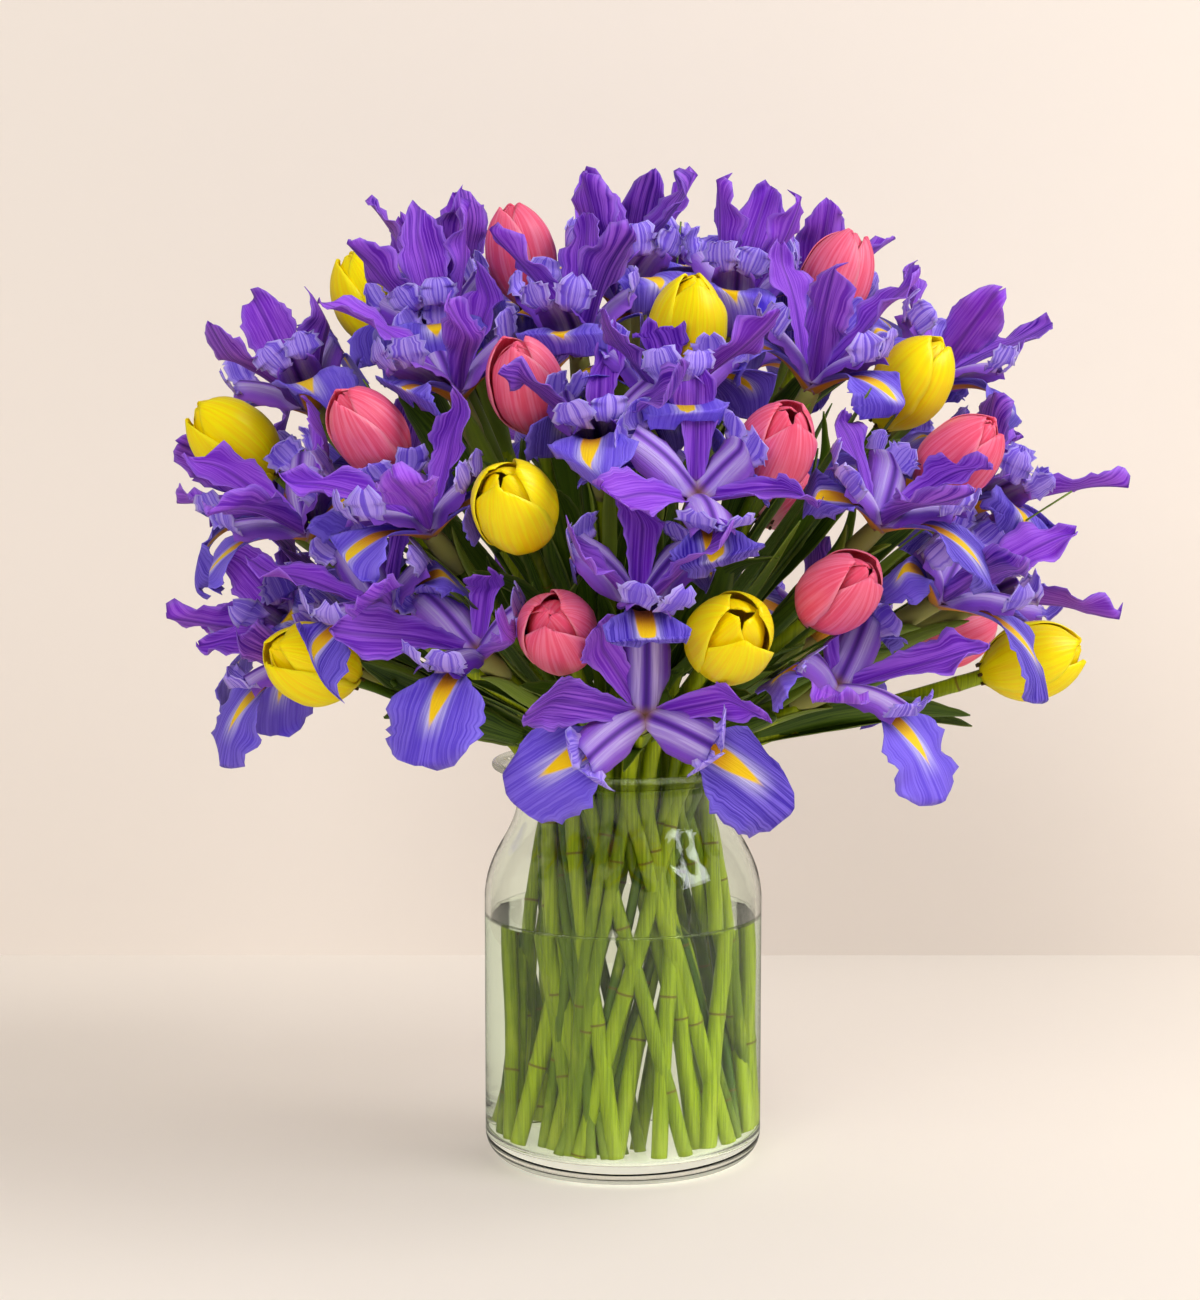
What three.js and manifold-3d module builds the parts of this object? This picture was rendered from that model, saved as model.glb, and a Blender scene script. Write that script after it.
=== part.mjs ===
// Irises and tulips in a glass jar vase.
// Millimetres, +Z up, the front towards -Y, the origin under the middle of the vase.
// Every stem leaves the vase through its mouth and runs straight out from one point there,
// so each flower owns a cone of the dome, and its petals bend clear of the cones beside it.

import * as THREE from "three";
import { mergeVertices } from "three/addons/utils/BufferGeometryUtils.js";
import Module from "manifold-3d";

const wasm = await Module();
wasm.setup();

// ---- Driving dimensions ----

const GAP = 0.3; // between pieces that touch

const VASE = {
  radius: 75,
  height: 217,
  baseCorner: 14,
  bodyTop: 145,
  neckRadius: 57,
  neckHeight: 195,
  lipRadius: 71,
  wall: 3,
  floor: 11.4,
  sides: 24,
};
const WATERLINE = 132.5;

const MOUTH = new THREE.Vector3(0, 0, 210); // the point that all the stems fan out from
const DOME = { low: 203, rise: 55, from: 15, to: 45, flattened: 0.14 }; // where flowers sit

const STEM = {
  radius: 4.4,
  sides: 4,
  waistHeight: 202, // where the bunch is narrowest
  waistRadius: 42,
  footRadius: 55,
  footSwing: 14, // degrees that a foot may stand round from its flower
  crossing: 4, // every fourth stem swings this many times as far, across the others
  swingOn: 4, // degrees more at a time, until a loose stem leans on another
  leaning: 10, // cubic mm that two leaning stems share
  fanOut: 70, // where a stem meets its own line out of the mouth
};

const IRIS = {
  throat: 32, // where the petals part, above the top of the stem
  tubeRadius: 5,
  tubeSides: 3,
  petalThick: 1.4,
  petalRoot: 1.5, // from the axis to where a petal's midline starts
};
const TULIP = {
  room: 5.6, // degrees on every side of its axis
  radius: 18,
  height: 55,
};
const LEAF = {
  room: 2.3, // degrees on both sides of its midrib
  thick: 1.6,
  parts: 35, // how far beyond the fan-out a leaf runs on its own line
};

const COLOURS = {
  glass: 0xdfe9df,
  water: 0xd8e6d6,
  stems: 0x5f9a2c,
  iris: 0x5a3fb4,
  yellow: 0xf7d70a,
  pink: 0xef6f86,
};

// ---- The bouquet: each flower by the way it points ----
// [name, azimuth, height, spread, roll, openness, further out]
// azimuth: degrees round from the front, positive to the right; height: degrees above level;
// spread: share of the room between two irises; roll: where its first fall points, degrees
// from straight up; openness: 0 upright, 1 laid flat open; further out: mm beyond the dome.

const IRISES = [
  // low front and sides
  ["iris_front_star", 3, 17, 20, 0, 1, 4],
  ["iris_front_left", -24, 25, 11, 180, 0.8, 0],
  ["iris_front_right", 37, 20, 13, 165, 0.9, -4],
  ["iris_left_low", -40, 29, 10, 185, 0.7, 0],
  ["iris_left_hang", -64, 22, 10, 190, 0.7, -14],
  ["iris_left_wing", -80, 25, 10, 90, 0.5, -26],
  ["iris_right_low", 60, 29, 10, 170, 0.6, -6],
  ["iris_right_wing", 88, 26, 10, 144, 0.5, -14],
  // the middle of the front
  ["iris_centre_star", 11, 42, 15, 180, 0.9, 5],
  ["iris_centre_left", -5, 50, 10, 60, 0.6, 0],
  ["iris_centre_low", 2, 31, 9, 180, 0.6, 0],
  ["iris_left_mid", -32, 38, 10, 194, 0.6, 0],
  ["iris_left_arch", -57, 36, 11, 200, 0.6, 0],
  ["iris_right_mid", 43, 38, 10, 160, 0.6, 0],
  // the upper front
  ["iris_upper_left", -39, 57, 10, 180, 0.5, 0],
  ["iris_upper_far_left", -60, 65, 9, 120, 0.3, 0],
  ["iris_upper_middle", 9, 56, 10, 180, 0.6, 0],
  ["iris_upper_centre", -14, 67, 10, 60, 0.3, 0],
  ["iris_upper_right", 46, 58, 10, 180, 0.4, 0],
  // the sides
  ["iris_far_left", -79, 50, 10, 90, 0.4, 2],
  ["iris_far_left_low", -97, 36, 11, 150, 0.5, -14],
  ["iris_far_right", 90, 52, 11, 90, 0.4, 2],
  ["iris_far_right_low", 82, 38, 11, 120, 0.5, -12],
  // the crown
  ["iris_crown_front", -2, 80, 9, 150, 0.2, 0],
  ["iris_crown", 165, 83, 11, 60, 0.2, 0],
  ["iris_crown_right", 50, 73, 10, 120, 0.2, 0],
  ["iris_crown_left", -95, 70, 10, 0, 0.2, 0],
  ["iris_shoulder_right", 114, 65, 11, 0, 0.2, 5],
  ["iris_shoulder_left", -125, 63, 11, 0, 0.2, 5],
  // the back
  ["iris_back_upper_right", 150, 60, 13, 90, 0.4, 0],
  ["iris_back_upper_left", -158, 62, 13, 30, 0.4, 0],
  ["iris_back_left", -135, 35, 14, 180, 0.6, 0],
  ["iris_back_middle", -172, 40, 14, 170, 0.6, 0],
  ["iris_back_right", 120, 37, 14, 190, 0.6, 0],
  ["iris_back_low_right", 140, 18, 14, 180, 0.8, 0],
  ["iris_back_low_left", -153, 18, 14, 175, 0.8, 0],
  ["iris_back_low_side", -118, 19, 14, 185, 0.7, 0],
];

// [name, azimuth, height, openness, further out]: mm from the dome to the middle of the head
const YELLOW_TULIPS = [
  ["tulip_yellow_upper_left", -80, 62, 0.1, 30],
  ["tulip_yellow_upper_middle", 17, 66, 0, 16],
  ["tulip_yellow_upper_right", 62, 52, 0, 18],
  ["tulip_yellow_far_left", -74, 41, 0.1, 26],
  ["tulip_yellow_centre", -16, 39, 0.3, 16],
  ["tulip_yellow_low_right", 15, 26, 0.5, 14],
  ["tulip_yellow_low_left", -49, 20, 0.1, 26],
  ["tulip_yellow_far_right", 76, 17, 0.1, 30],
  ["tulip_yellow_back", 172, 18, 0.1, 12],
];
const PINK_TULIPS = [
  ["tulip_pink_upper_left", -57, 77, 0, 28],
  ["tulip_pink_upper_right", 80, 67, 0, 30],
  ["tulip_pink_centre_left", -19, 55, 0.1, 16],
  ["tulip_pink_left", -44, 46, 0.1, 18],
  ["tulip_pink_centre_right", 24, 46, 0.3, 14],
  ["tulip_pink_right", 55, 41, 0, 24],
  ["tulip_pink_low_right", 32, 30, 0.2, 14],
  ["tulip_pink_low_left", -10, 27, 0.1, 12],
  ["tulip_pink_back", 150, 37, 0.1, 12],
  ["tulip_pink_back_side", 110, 19, 0.1, 12],
];

// [azimuth, height, tip beyond the mouth, width]
const LEAVES = [
  [100, 84, 296, 8],
  [72, 33, 285, 8],
  [41, 49, 276, 14],
  [56, 50, 266, 12],
  [25, 23, 200, 15],
  [25, 37, 243, 13],
  [-49, 35, 250, 10],
  [-25, 31, 213, 11],
  [-32, 66, 262, 10],
  [-59, 54, 262, 10],
  [133, 50, 256, 14],
  [-150, 47, 254, 13],
  [163, 27, 225, 14],
  [-135, 18, 215, 14],
];

// ---- Small tools ----

const radians = (degrees) => (degrees * Math.PI) / 180;
const mix = (a, b, share) => a + (b - a) * share;

function direction(azimuth, height) {
  const a = radians(azimuth);
  const h = radians(height);
  return new THREE.Vector3(
    Math.cos(h) * Math.sin(a),
    -Math.cos(h) * Math.cos(a),
    Math.sin(h),
  );
}

// The low flowers sit nearer the mouth than those above, and the front and back are flattened.
function domeReach(azimuth, height) {
  const rise = DOME.rise * THREE.MathUtils.smoothstep(height, DOME.from, DOME.to);
  const facing = Math.cos(radians(height)) * Math.abs(Math.cos(radians(azimuth)));
  return (DOME.low + rise) * (1 - DOME.flattened * facing);
}

// The same draws every time, from 0 to 1.
function seeded(seed) {
  let state = seed;
  return () => {
    state = (state * 16807) % 2147483647;
    return state / 2147483647;
  };
}

function solid(geometry) {
  const bare = geometry.clone();
  bare.deleteAttribute("normal");
  bare.deleteAttribute("uv");
  const merged = mergeVertices(bare, 1e-4);
  return new wasm.Manifold(
    new wasm.Mesh({
      numProp: 3,
      vertProperties: new Float32Array(merged.attributes.position.array),
      triVerts: new Uint32Array(merged.index.array),
    }),
  );
}

// The largest body of a joined solid, with any sealed hollow in it filled.
function oneBody(joined) {
  const bodies = joined.decompose();
  return bodies.reduce((best, body) => (body.volume() > best.volume() ? body : best));
}

function geometryOf(body) {
  const mesh = body.getMesh();
  const geometry = new THREE.BufferGeometry();
  geometry.setAttribute("position", new THREE.BufferAttribute(mesh.vertProperties, 3));
  geometry.setIndex(new THREE.BufferAttribute(mesh.triVerts, 1));
  geometry.computeVertexNormals();
  return geometry;
}

// A closed skin over rings of points: each ring is a list of the same length, anticlockwise
// as seen from the end of the skin, and a first or last point closes each end.
// Beside each other, its strips split the opposite way, so a blade's two faces split alike.
function skin(rings, start, end) {
  const sides = rings[0].length;
  const points = [start, ...rings.flat(), end];
  const at = (ring, side) => 1 + ring * sides + (side % sides);
  const faces = [];
  for (let side = 0; side < sides; side++) {
    faces.push(0, at(0, side + 1), at(0, side));
    for (let ring = 0; ring + 1 < rings.length; ring++) {
      const [a, b] = [at(ring, side), at(ring, side + 1)];
      const [c, d] = [at(ring + 1, side + 1), at(ring + 1, side)];
      if (side % 2) faces.push(a, b, d, b, c, d);
      else faces.push(a, b, c, a, c, d);
    }
    faces.push(points.length - 1, at(rings.length - 1, side), at(rings.length - 1, side + 1));
  }
  const geometry = new THREE.BufferGeometry().setFromPoints(points);
  geometry.setIndex(faces);
  return geometry;
}

// A round rod through points, with one radius for each.
function rod(points, radii, sides) {
  const across = new THREE.Vector3(0.3, 0.2, 1).cross(points[1].clone().sub(points[0]));
  const rings = points.map((point, i) => {
    const before = points[Math.max(i - 1, 0)];
    const after = points[Math.min(i + 1, points.length - 1)];
    const along = after.clone().sub(before).normalize();
    across.addScaledVector(along, -across.dot(along)).normalize();
    const up = along.clone().cross(across);
    return Array.from({ length: sides }, (_, side) => {
      const turn = (2 * Math.PI * side) / sides;
      return point
        .clone()
        .addScaledVector(across, radii[i] * Math.cos(turn))
        .addScaledVector(up, radii[i] * Math.sin(turn));
    });
  });
  return skin(rings, points[0].clone(), points[points.length - 1].clone());
}

// A thin blade: each row has its left edge, midrib and right edge, and the ends are points.
// It is thickened along the way that all the triangles round a point of the midrib face.
function blade(start, rows, end, thick) {
  const rings = rows.map(({ left, mid, right }, i) => {
    const before = rows[i - 1] ?? { left: start, mid: start, right: start };
    const after = rows[i + 1]?.mid ?? end;
    const around = [after, left, before.left, before.mid, before.right, right, after];
    const spokes = around.map((point) => point.clone().sub(mid));
    const face = new THREE.Vector3();
    for (let k = 0; k + 1 < spokes.length; k++)
      face.add(spokes[k + 1].clone().cross(spokes[k]).normalize());
    face.setLength(thick / 2);
    return [left, mid.clone().sub(face), right, mid.clone().add(face)];
  });
  return skin(rings, start, end);
}

// ---- The flowers' places ----

const flowers = [];
for (const [name, azimuth, height, spread, roll, open, further] of IRISES) {
  const reach = domeReach(azimuth, height) + further;
  flowers.push({ name, azimuth, height, spread, roll, open, seat: reach - IRIS.throat });
}
for (const [tulips, colour] of [
  [YELLOW_TULIPS, COLOURS.yellow],
  [PINK_TULIPS, COLOURS.pink],
])
  for (const [name, azimuth, height, open, further] of tulips) {
    const seat = domeReach(azimuth, height) + further - TULIP.height / 2;
    flowers.push({ name, azimuth, height, open, colour, holds: TULIP.room, seat });
  }
for (const flower of flowers) flower.axis = direction(flower.azimuth, flower.height);

const leaves = LEAVES.map(([azimuth, height, tip, width]) => ({
  azimuth,
  height,
  tip,
  width,
  holds: LEAF.room,
  axis: direction(azimuth, height),
}));

const NEAR = 60; // degrees within which two flowers share out their room

// The planes through the mouth that part a flower from those beside it.
// Tulips and leaves hold their own room, and irises share the rest by their spread.
function wallsOf(flower) {
  const walls = [];
  for (const other of [...flowers, ...leaves]) {
    if (other === flower) continue;
    const apart = flower.axis.angleTo(other.axis);
    if (apart > radians(NEAR)) continue;
    let own = (apart * flower.spread) / (flower.spread + other.spread);
    if (other.holds) own = apart - radians(other.holds);
    if (flower.holds) own = radians(flower.holds);
    const towards = other.axis.clone().addScaledVector(flower.axis, -Math.cos(apart)).normalize();
    const out = towards
      .clone()
      .multiplyScalar(Math.cos(own))
      .addScaledVector(flower.axis, -Math.sin(own));
    walls.push({ out, own });
  }
  return walls;
}

const CLEAR = 1.15; // from a petal's middle layer to a wall
const FREE = 0.6; // share of the room that a petal uses before it starts to bend

// Bends a point of a petal back from each wall that it nears.
function bendClear(point, walls) {
  const p = point.clone().sub(MOUTH);
  for (let pass = 0; pass < 5; pass++)
    for (const { out, own } of walls) {
      const room = p.length() * Math.sin(own);
      const limit = room - CLEAR;
      const easy = limit * FREE;
      const reached = p.dot(out) + room;
      if (reached <= easy) continue;
      const bent = limit - (limit - easy) * Math.exp((easy - reached) / (limit - easy));
      p.addScaledVector(out, bent - reached);
    }
  return p.add(MOUTH);
}

// ---- The vase ----

// The wall from the base corner up to the lip, moved in by inset: [radius, height].
function wallProfile(inset) {
  return [
    [VASE.radius, VASE.baseCorner],
    [VASE.radius, VASE.bodyTop],
    [72.6, 157.5],
    [68, 168.4],
    [60.5, 182],
    [VASE.neckRadius, VASE.neckHeight],
    [60.2, 206],
    [VASE.lipRadius - 2.5, VASE.height - 2.5],
  ].map(([r, z]) => [r - inset, z]);
}

function vaseSolid() {
  const corner = VASE.baseCorner;
  const outside = [[0, 0]];
  for (const turn of [0, 45])
    outside.push([
      VASE.radius - corner + corner * Math.sin(radians(turn)),
      corner - corner * Math.cos(radians(turn)),
    ]);
  outside.push(...wallProfile(0));
  outside.push([VASE.lipRadius, VASE.height - 1.2]);
  outside.push([VASE.lipRadius - 1, VASE.height]);
  outside.push([VASE.lipRadius - 3.5, VASE.height - 0.6]);
  const inside = wallProfile(VASE.wall).slice(1, -1);
  inside.unshift([VASE.radius - VASE.wall, VASE.floor + 8]);
  inside.unshift([VASE.radius - VASE.wall - 8, VASE.floor]);
  inside.unshift([0, VASE.floor]);
  const profile = [...outside, ...inside.reverse()].map(([r, z]) => new THREE.Vector2(r, z));
  return solid(standing(new THREE.LatheGeometry(profile, VASE.sides)));
}

// A lathe turns about Y: this stands it up along Z.
function standing(lathe) {
  return lathe.rotateX(Math.PI / 2);
}

// ---- The stems and leaves, one body ----

const random = seeded(47);
const STEM_RADII = [1, 1, 1, 0.9].map((share) => share * STEM.radius);

function stemPath(flower, swing, footRadius) {
  const { azimuth, height, axis, seat } = flower;
  const outward = Math.cos(radians(height)) ** 0.6;
  const foot = direction(azimuth + swing, 0).multiplyScalar(footRadius).setZ(VASE.floor + GAP);
  const waist = direction(azimuth, 0).multiplyScalar(STEM.waistRadius * outward);
  waist.setZ(STEM.waistHeight);
  const lean = waist.clone().sub(foot).angleTo(new THREE.Vector3(0, 0, 1));
  foot.z += STEM.radius * Math.sin(lean);
  return [
    foot,
    waist,
    MOUTH.clone().addScaledVector(axis, STEM.fanOut),
    MOUTH.clone().addScaledVector(axis, seat - GAP),
  ];
}

// A leaf parts from the stem beside it just outside the mouth of the vase.
function leafSolid({ azimuth, axis, tip, width }) {
  const beside = flowers.reduce((best, flower) =>
    flower.axis.angleTo(axis) < best.axis.angleTo(axis) ? flower : best,
  );
  const side = direction(azimuth + 90, 0);
  const spread = STEM.fanOut + LEAF.parts;
  const row = (line, reach, wide) => {
    const most = 2 * reach * Math.tan(radians(LEAF.room)) - 2 * GAP;
    const half = Math.min(wide, most) / 2;
    const mid = MOUTH.clone().addScaledVector(line, reach);
    return {
      left: mid.clone().addScaledVector(side, -half),
      mid,
      right: mid.clone().addScaledVector(side, half),
    };
  };
  const rows = [
    row(beside.axis, STEM.fanOut + 12, STEM.radius),
    row(axis, mix(spread, tip, 0.15), width),
    row(axis, mix(spread, tip, 0.75), width * 0.8),
  ];
  const root = MOUTH.clone().addScaledVector(beside.axis, STEM.fanOut + 3);
  return solid(blade(root, rows, MOUTH.clone().addScaledVector(axis, tip), LEAF.thick));
}

const joinAll = (solids) => solids.reduce((joined, next) => joined.add(next));

// A foot stands roughly under its own flower, swung a little round the vase.
function plantStem(flower) {
  const outward = Math.cos(radians(flower.height)) ** 0.6;
  const footRadius = STEM.footRadius * Math.max(outward, 0.25 + 0.7 * random());
  const swung = flowers.indexOf(flower) % 4 ? STEM.footSwing : STEM.footSwing * STEM.crossing;
  const swing = (random() * 2 - 1) * swung;
  const stand = (angle) => {
    const path = stemPath(flower, angle, footRadius);
    return { path, body: solid(rod(path, STEM_RADII, STEM.sides)) };
  };
  return { stand, swing, ...stand(swing) };
}

const stems = flowers.map(plantStem);

// The stems lean on each other: one that would stand loose swings its foot, to one side or
// the other, just as far as it takes to lean on the bunch.
function stemsSolid() {
  let bunch = oneBody(joinAll(stems.map(({ body }) => body)));
  for (const stem of stems) {
    const shared = () => bunch.intersect(stem.body).volume();
    if (shared() > 0.99 * stem.body.volume()) continue;
    let turn = STEM.swingOn;
    while (shared() < STEM.leaning && Math.abs(turn) < 180) {
      Object.assign(stem, stem.stand(stem.swing + turn));
      turn = turn > 0 ? -turn : STEM.swingOn - turn;
    }
    bunch = bunch.add(stem.body);
  }
  const withLeaves = joinAll([bunch, ...leaves.map(leafSolid)]);
  return oneBody(withLeaves);
}

function waterSolid() {
  const radius = VASE.radius - VASE.wall - GAP;
  const bottom = VASE.floor + GAP;
  const profile = [
    [0, bottom],
    [radius - 8, bottom],
    [radius, bottom + 8],
    [radius, WATERLINE],
    [0, WATERLINE],
  ].map(([r, z]) => new THREE.Vector2(r, z));
  let water = solid(standing(new THREE.LatheGeometry(profile, VASE.sides)));
  const wide = STEM.radius + 0.4;
  for (const { path } of stems) {
    const [foot, waist] = path;
    const below = foot.clone().lerp(waist, -0.02);
    water = water.subtract(solid(rod([below, waist], [wide, wide], STEM.sides)));
  }
  return oneBody(water);
}

// ---- The irises ----

// A petal leaves the throat at one angle from the bloom's axis and ends at another.
// rows: [share of the length, width], where the blade starts and ends in a point.
const PETALS = {
  fall: {
    turns: [0, 120, 240],
    length: 88,
    upright: [30, 165],
    flat: [58, 118],
    start: 0,
    rows: [
      [0.38, 17],
      [0.66, 42],
      [0.91, 38],
    ],
    cup: -2,
    wave: 1.5,
  },
  standard: {
    turns: [60, 180, 300],
    length: 82,
    upright: [14, 20],
    flat: [48, 75],
    start: 0,
    rows: [
      [0.42, 16],
      [0.82, 28],
    ],
    cup: 2.5,
    wave: 2,
  },
  styleArm: {
    turns: [0, 120, 240],
    length: 52,
    upright: [22, 55],
    flat: [48, 72],
    start: 3,
    rows: [[0.75, 18]],
    cup: 3,
    wave: 0,
  },
};

// The front bloom's standards swing up and to the sides, clear of the neck of the vase.
const FRONT_STANDARDS = [-35, 84, -84];

// Steps along a petal's midline in the plane of its own turn: [out from the axis, up it].
function midline(petal, open, share) {
  const from = radians(mix(petal.upright[0], petal.flat[0], open));
  const to = radians(mix(petal.upright[1], petal.flat[1], open));
  const steps = Math.max(1, Math.round(share * 24));
  let out = IRIS.petalRoot;
  let up = IRIS.throat - 4 + petal.start;
  for (let step = 0; step < steps; step++) {
    const along = ((step + 0.5) / steps) * share;
    const bend = along * along * (3 - 2 * along);
    const angle = mix(from, to, bend);
    out += (Math.sin(angle) * share * petal.length) / steps;
    up += (Math.cos(angle) * share * petal.length) / steps;
  }
  return [out, up];
}

function petalSolid(flower, petal, turn, walls) {
  const { axis, azimuth, height, roll, open, seat } = flower;
  const upward = direction(azimuth, height + 90);
  const angle = radians(roll + turn);
  const outward = upward.clone().applyAxisAngle(axis, -angle);
  const sideways = outward.clone().cross(axis);
  const place = (share, across, lift) => {
    const [out, up] = midline(petal, open, share);
    const [outBack, upBack] = midline(petal, open, Math.max(share - 0.05, 0));
    const slope = Math.atan2(out - outBack, up - upBack);
    const point = MOUTH.clone()
      .addScaledVector(axis, seat + up + lift * Math.sin(slope))
      .addScaledVector(outward, out - lift * Math.cos(slope))
      .addScaledVector(sideways, across);
    return bendClear(point, walls);
  };
  const rows = petal.rows.map(([share, width], i) => {
    const wave = petal.wave * (i % 2 ? 1 : -1);
    return {
      left: place(share, -width / 2, petal.cup + wave),
      mid: place(share, 0, 0),
      right: place(share, width / 2, petal.cup - wave),
    };
  });
  const base = MOUTH.clone()
    .addScaledVector(axis, seat + IRIS.throat - 6 + petal.start)
    .addScaledVector(outward, IRIS.petalRoot - 1);
  return solid(blade(base, rows, place(1, 0, 0), IRIS.petalThick));
}

function irisSolid(flower) {
  const { axis, seat } = flower;
  const walls = wallsOf(flower);
  const radius = IRIS.tubeRadius;
  const heights = [0, 16, IRIS.throat];
  const tube = rod(
    heights.map((up) => MOUTH.clone().addScaledVector(axis, seat + up)),
    [radius - 0.8, radius, radius],
    IRIS.tubeSides,
  );
  let joined = solid(tube);
  for (const petal of Object.values(PETALS)) {
    const swung = flower.name === "iris_front_star" && petal === PETALS.standard;
    for (const turn of swung ? FRONT_STANDARDS : petal.turns)
      joined = joined.add(petalSolid(flower, petal, turn, walls));
  }
  return oneBody(joined);
}

// ---- The tulips ----

// A head of twelve columns: the middles and both edges of three outer petals, and the
// middles of three inner ones, which stand a little further in and show between them.
function tulipSolid(flower) {
  const { axis, azimuth, height, seat, open } = flower;
  const across = direction(azimuth + 90, 0);
  const upward = direction(azimuth, height + 90);
  const place = (turn, out, up) =>
    MOUTH.clone()
      .addScaledVector(axis, seat + up)
      .addScaledVector(across, out * Math.cos(turn))
      .addScaledVector(upward, out * Math.sin(turn));
  const columns = [];
  for (let petal = 0; petal < 3; petal++)
    for (const [turn, set, tip] of [
      [-40, 1, 0.72],
      [0, 1, 1],
      [40, 1, 0.72],
      [60, 0.88, 0.94],
    ])
      columns.push({ turn: radians(petal * 120 + turn), set, tip });
  const mouth = mix(0.38, 0.85, open);
  const rings = [
    [0.03, 0.3],
    [0.3, 1],
    [0.72, mix(0.86, 1, open)],
    [1, mouth],
  ].map(([share, wide], i, all) =>
    columns.map(({ turn, set, tip }) => {
      const up = i === all.length - 1 ? tip : share * mix(1, tip, share * 0.6);
      const out = TULIP.radius * wide * (i ? set : 1);
      return place(turn, out, up * TULIP.height);
    }),
  );
  const top = place(0, 0, TULIP.height * mix(0.7, 0.45, open));
  return solid(skin(rings, place(0, 0, 0), top));
}

// ---- The bouquet put together ----

const bouquet = new THREE.Group();

function addPiece(name, body, color, roughness) {
  const material = new THREE.MeshStandardMaterial({ color, roughness, metalness: 0 });
  const mesh = new THREE.Mesh(geometryOf(body), material);
  mesh.name = name;
  bouquet.add(mesh);
  return material;
}

const glass = addPiece("glass_vase", vaseSolid(), COLOURS.glass, 0.03);
glass.transparent = true;
glass.opacity = 0.35;
addPiece("stems", stemsSolid(), COLOURS.stems, 0.5);
const water = addPiece("water", waterSolid(), COLOURS.water, 0.02);
water.transparent = true;
water.opacity = 0.3;
for (const flower of flowers)
  if (flower.colour) addPiece(flower.name, tulipSolid(flower), flower.colour, 0.45);
  else addPiece(flower.name, irisSolid(flower), COLOURS.iris, 0.55);

export default bouquet;
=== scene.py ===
"""Irises and tulips in a glass jar vase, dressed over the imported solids.

Metres, +Z up, the front towards -Y. Sizes that are easier to read in millimetres are
written as such and multiplied by MM.
"""

import math

import bpy
import numpy as np
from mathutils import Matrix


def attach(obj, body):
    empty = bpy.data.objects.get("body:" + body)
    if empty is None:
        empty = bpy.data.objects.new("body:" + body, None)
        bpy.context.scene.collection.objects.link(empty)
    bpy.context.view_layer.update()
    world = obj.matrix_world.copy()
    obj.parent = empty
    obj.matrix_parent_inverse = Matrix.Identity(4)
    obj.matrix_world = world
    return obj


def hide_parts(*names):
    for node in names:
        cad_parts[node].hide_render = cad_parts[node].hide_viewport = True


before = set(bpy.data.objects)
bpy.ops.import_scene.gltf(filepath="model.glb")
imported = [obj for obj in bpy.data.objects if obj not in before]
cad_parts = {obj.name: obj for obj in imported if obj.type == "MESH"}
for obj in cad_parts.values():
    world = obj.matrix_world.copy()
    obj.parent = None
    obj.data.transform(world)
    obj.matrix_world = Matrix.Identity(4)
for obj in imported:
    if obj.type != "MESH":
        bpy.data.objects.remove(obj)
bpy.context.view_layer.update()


# ---- Table, wall, light and camera ----
# A plain pale table that ends at a plain warm wall, lit by one large soft light from the
# upper right and filled from all round. None of it belongs to the bouquet.

MM = 0.001


def linear(red, green, blue):
    """A colour given as it shows on a screen, 0 to 255, as the light that a shader needs."""
    return tuple(
        c / 12.92 if c <= 0.04045 else ((c + 0.055) / 1.055) ** 2.4
        for c in (red / 255, green / 255, blue / 255)
    ) + (1.0,)


def feed(tree, socket, value):
    """Links a socket to another node's output, or gives it a constant."""
    if isinstance(value, bpy.types.NodeSocket):
        tree.links.new(value, socket)
    else:
        socket.default_value = value


def add_node(tree, kind, inputs=None, **settings):
    """A new node with its settings, its constants and its links from other sockets."""
    made = tree.nodes.new(kind)
    for name, value in settings.items():
        setattr(made, name, value)
    for name, value in (inputs or {}).items():
        feed(tree, made.inputs[name], value)
    return made


def calc(tree, operation, *values):
    return add_node(tree, "ShaderNodeMath", dict(enumerate(values)), operation=operation).outputs[0]


def times(tree, *values):
    """The product of sockets and numbers."""
    product = values[0]
    for value in values[1:]:
        product = calc(tree, "MULTIPLY", product, value)
    return product


def blend(tree, share, low, high):
    """From colour low to colour high as share goes from 0 to 1."""
    made = add_node(tree, "ShaderNodeMix", data_type="RGBA")
    for number, value in zip((0, 6, 7), (share, low, high)):
        feed(tree, made.inputs[number], value)
    return made.outputs[2]


def ease(tree, value, low, high):
    """0 where value is under low, 1 where it is over high, and smooth between."""
    made = add_node(
        tree,
        "ShaderNodeMapRange",
        {"Value": value, "From Min": low, "From Max": high},
        interpolation_type="SMOOTHSTEP",
    )
    return made.outputs["Result"]


def new_material(name, **constants):
    """A material with one Principled shader, its constants set on its own sockets."""
    made = bpy.data.materials.new(name)
    made.use_nodes = True
    shader = made.node_tree.nodes["Principled BSDF"]
    for key, value in constants.items():
        shader.inputs[key.replace("_", " ")].default_value = value
    return made, made.node_tree, shader


def mixed(tree, share, *looks):
    """The first look where share is 0, and the second, or else black, where it is 1."""
    inputs = {number: look.outputs[0] for number, look in enumerate(looks, 1)}
    return add_node(tree, "ShaderNodeMixShader", {0: share, **inputs})


def shown(tree, look, output="Material Output"):
    tree.links.new(look.outputs[0], tree.nodes[output].inputs["Surface"])


def mirrored(tree, share):
    """share for what a surface mirrors, and 0 for what is seen straight or through glass."""
    rays = add_node(tree, "ShaderNodeLightPath").outputs
    straight = calc(tree, "SUBTRACT", 1.0, rays["Is Transmission Ray"])
    return times(tree, rays["Is Glossy Ray"], straight, share)


def placed(name, data):
    """A new object in the scene, at the origin."""
    made = bpy.data.objects.new(name, data)
    bpy.context.scene.collection.objects.link(made)
    return made


def plain_sheet(name, corners, material):
    mesh = bpy.data.meshes.new(name)
    mesh.from_pydata(corners, [], [(0, 1, 2, 3)])
    mesh.materials.append(material)
    placed(name, mesh)


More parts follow.
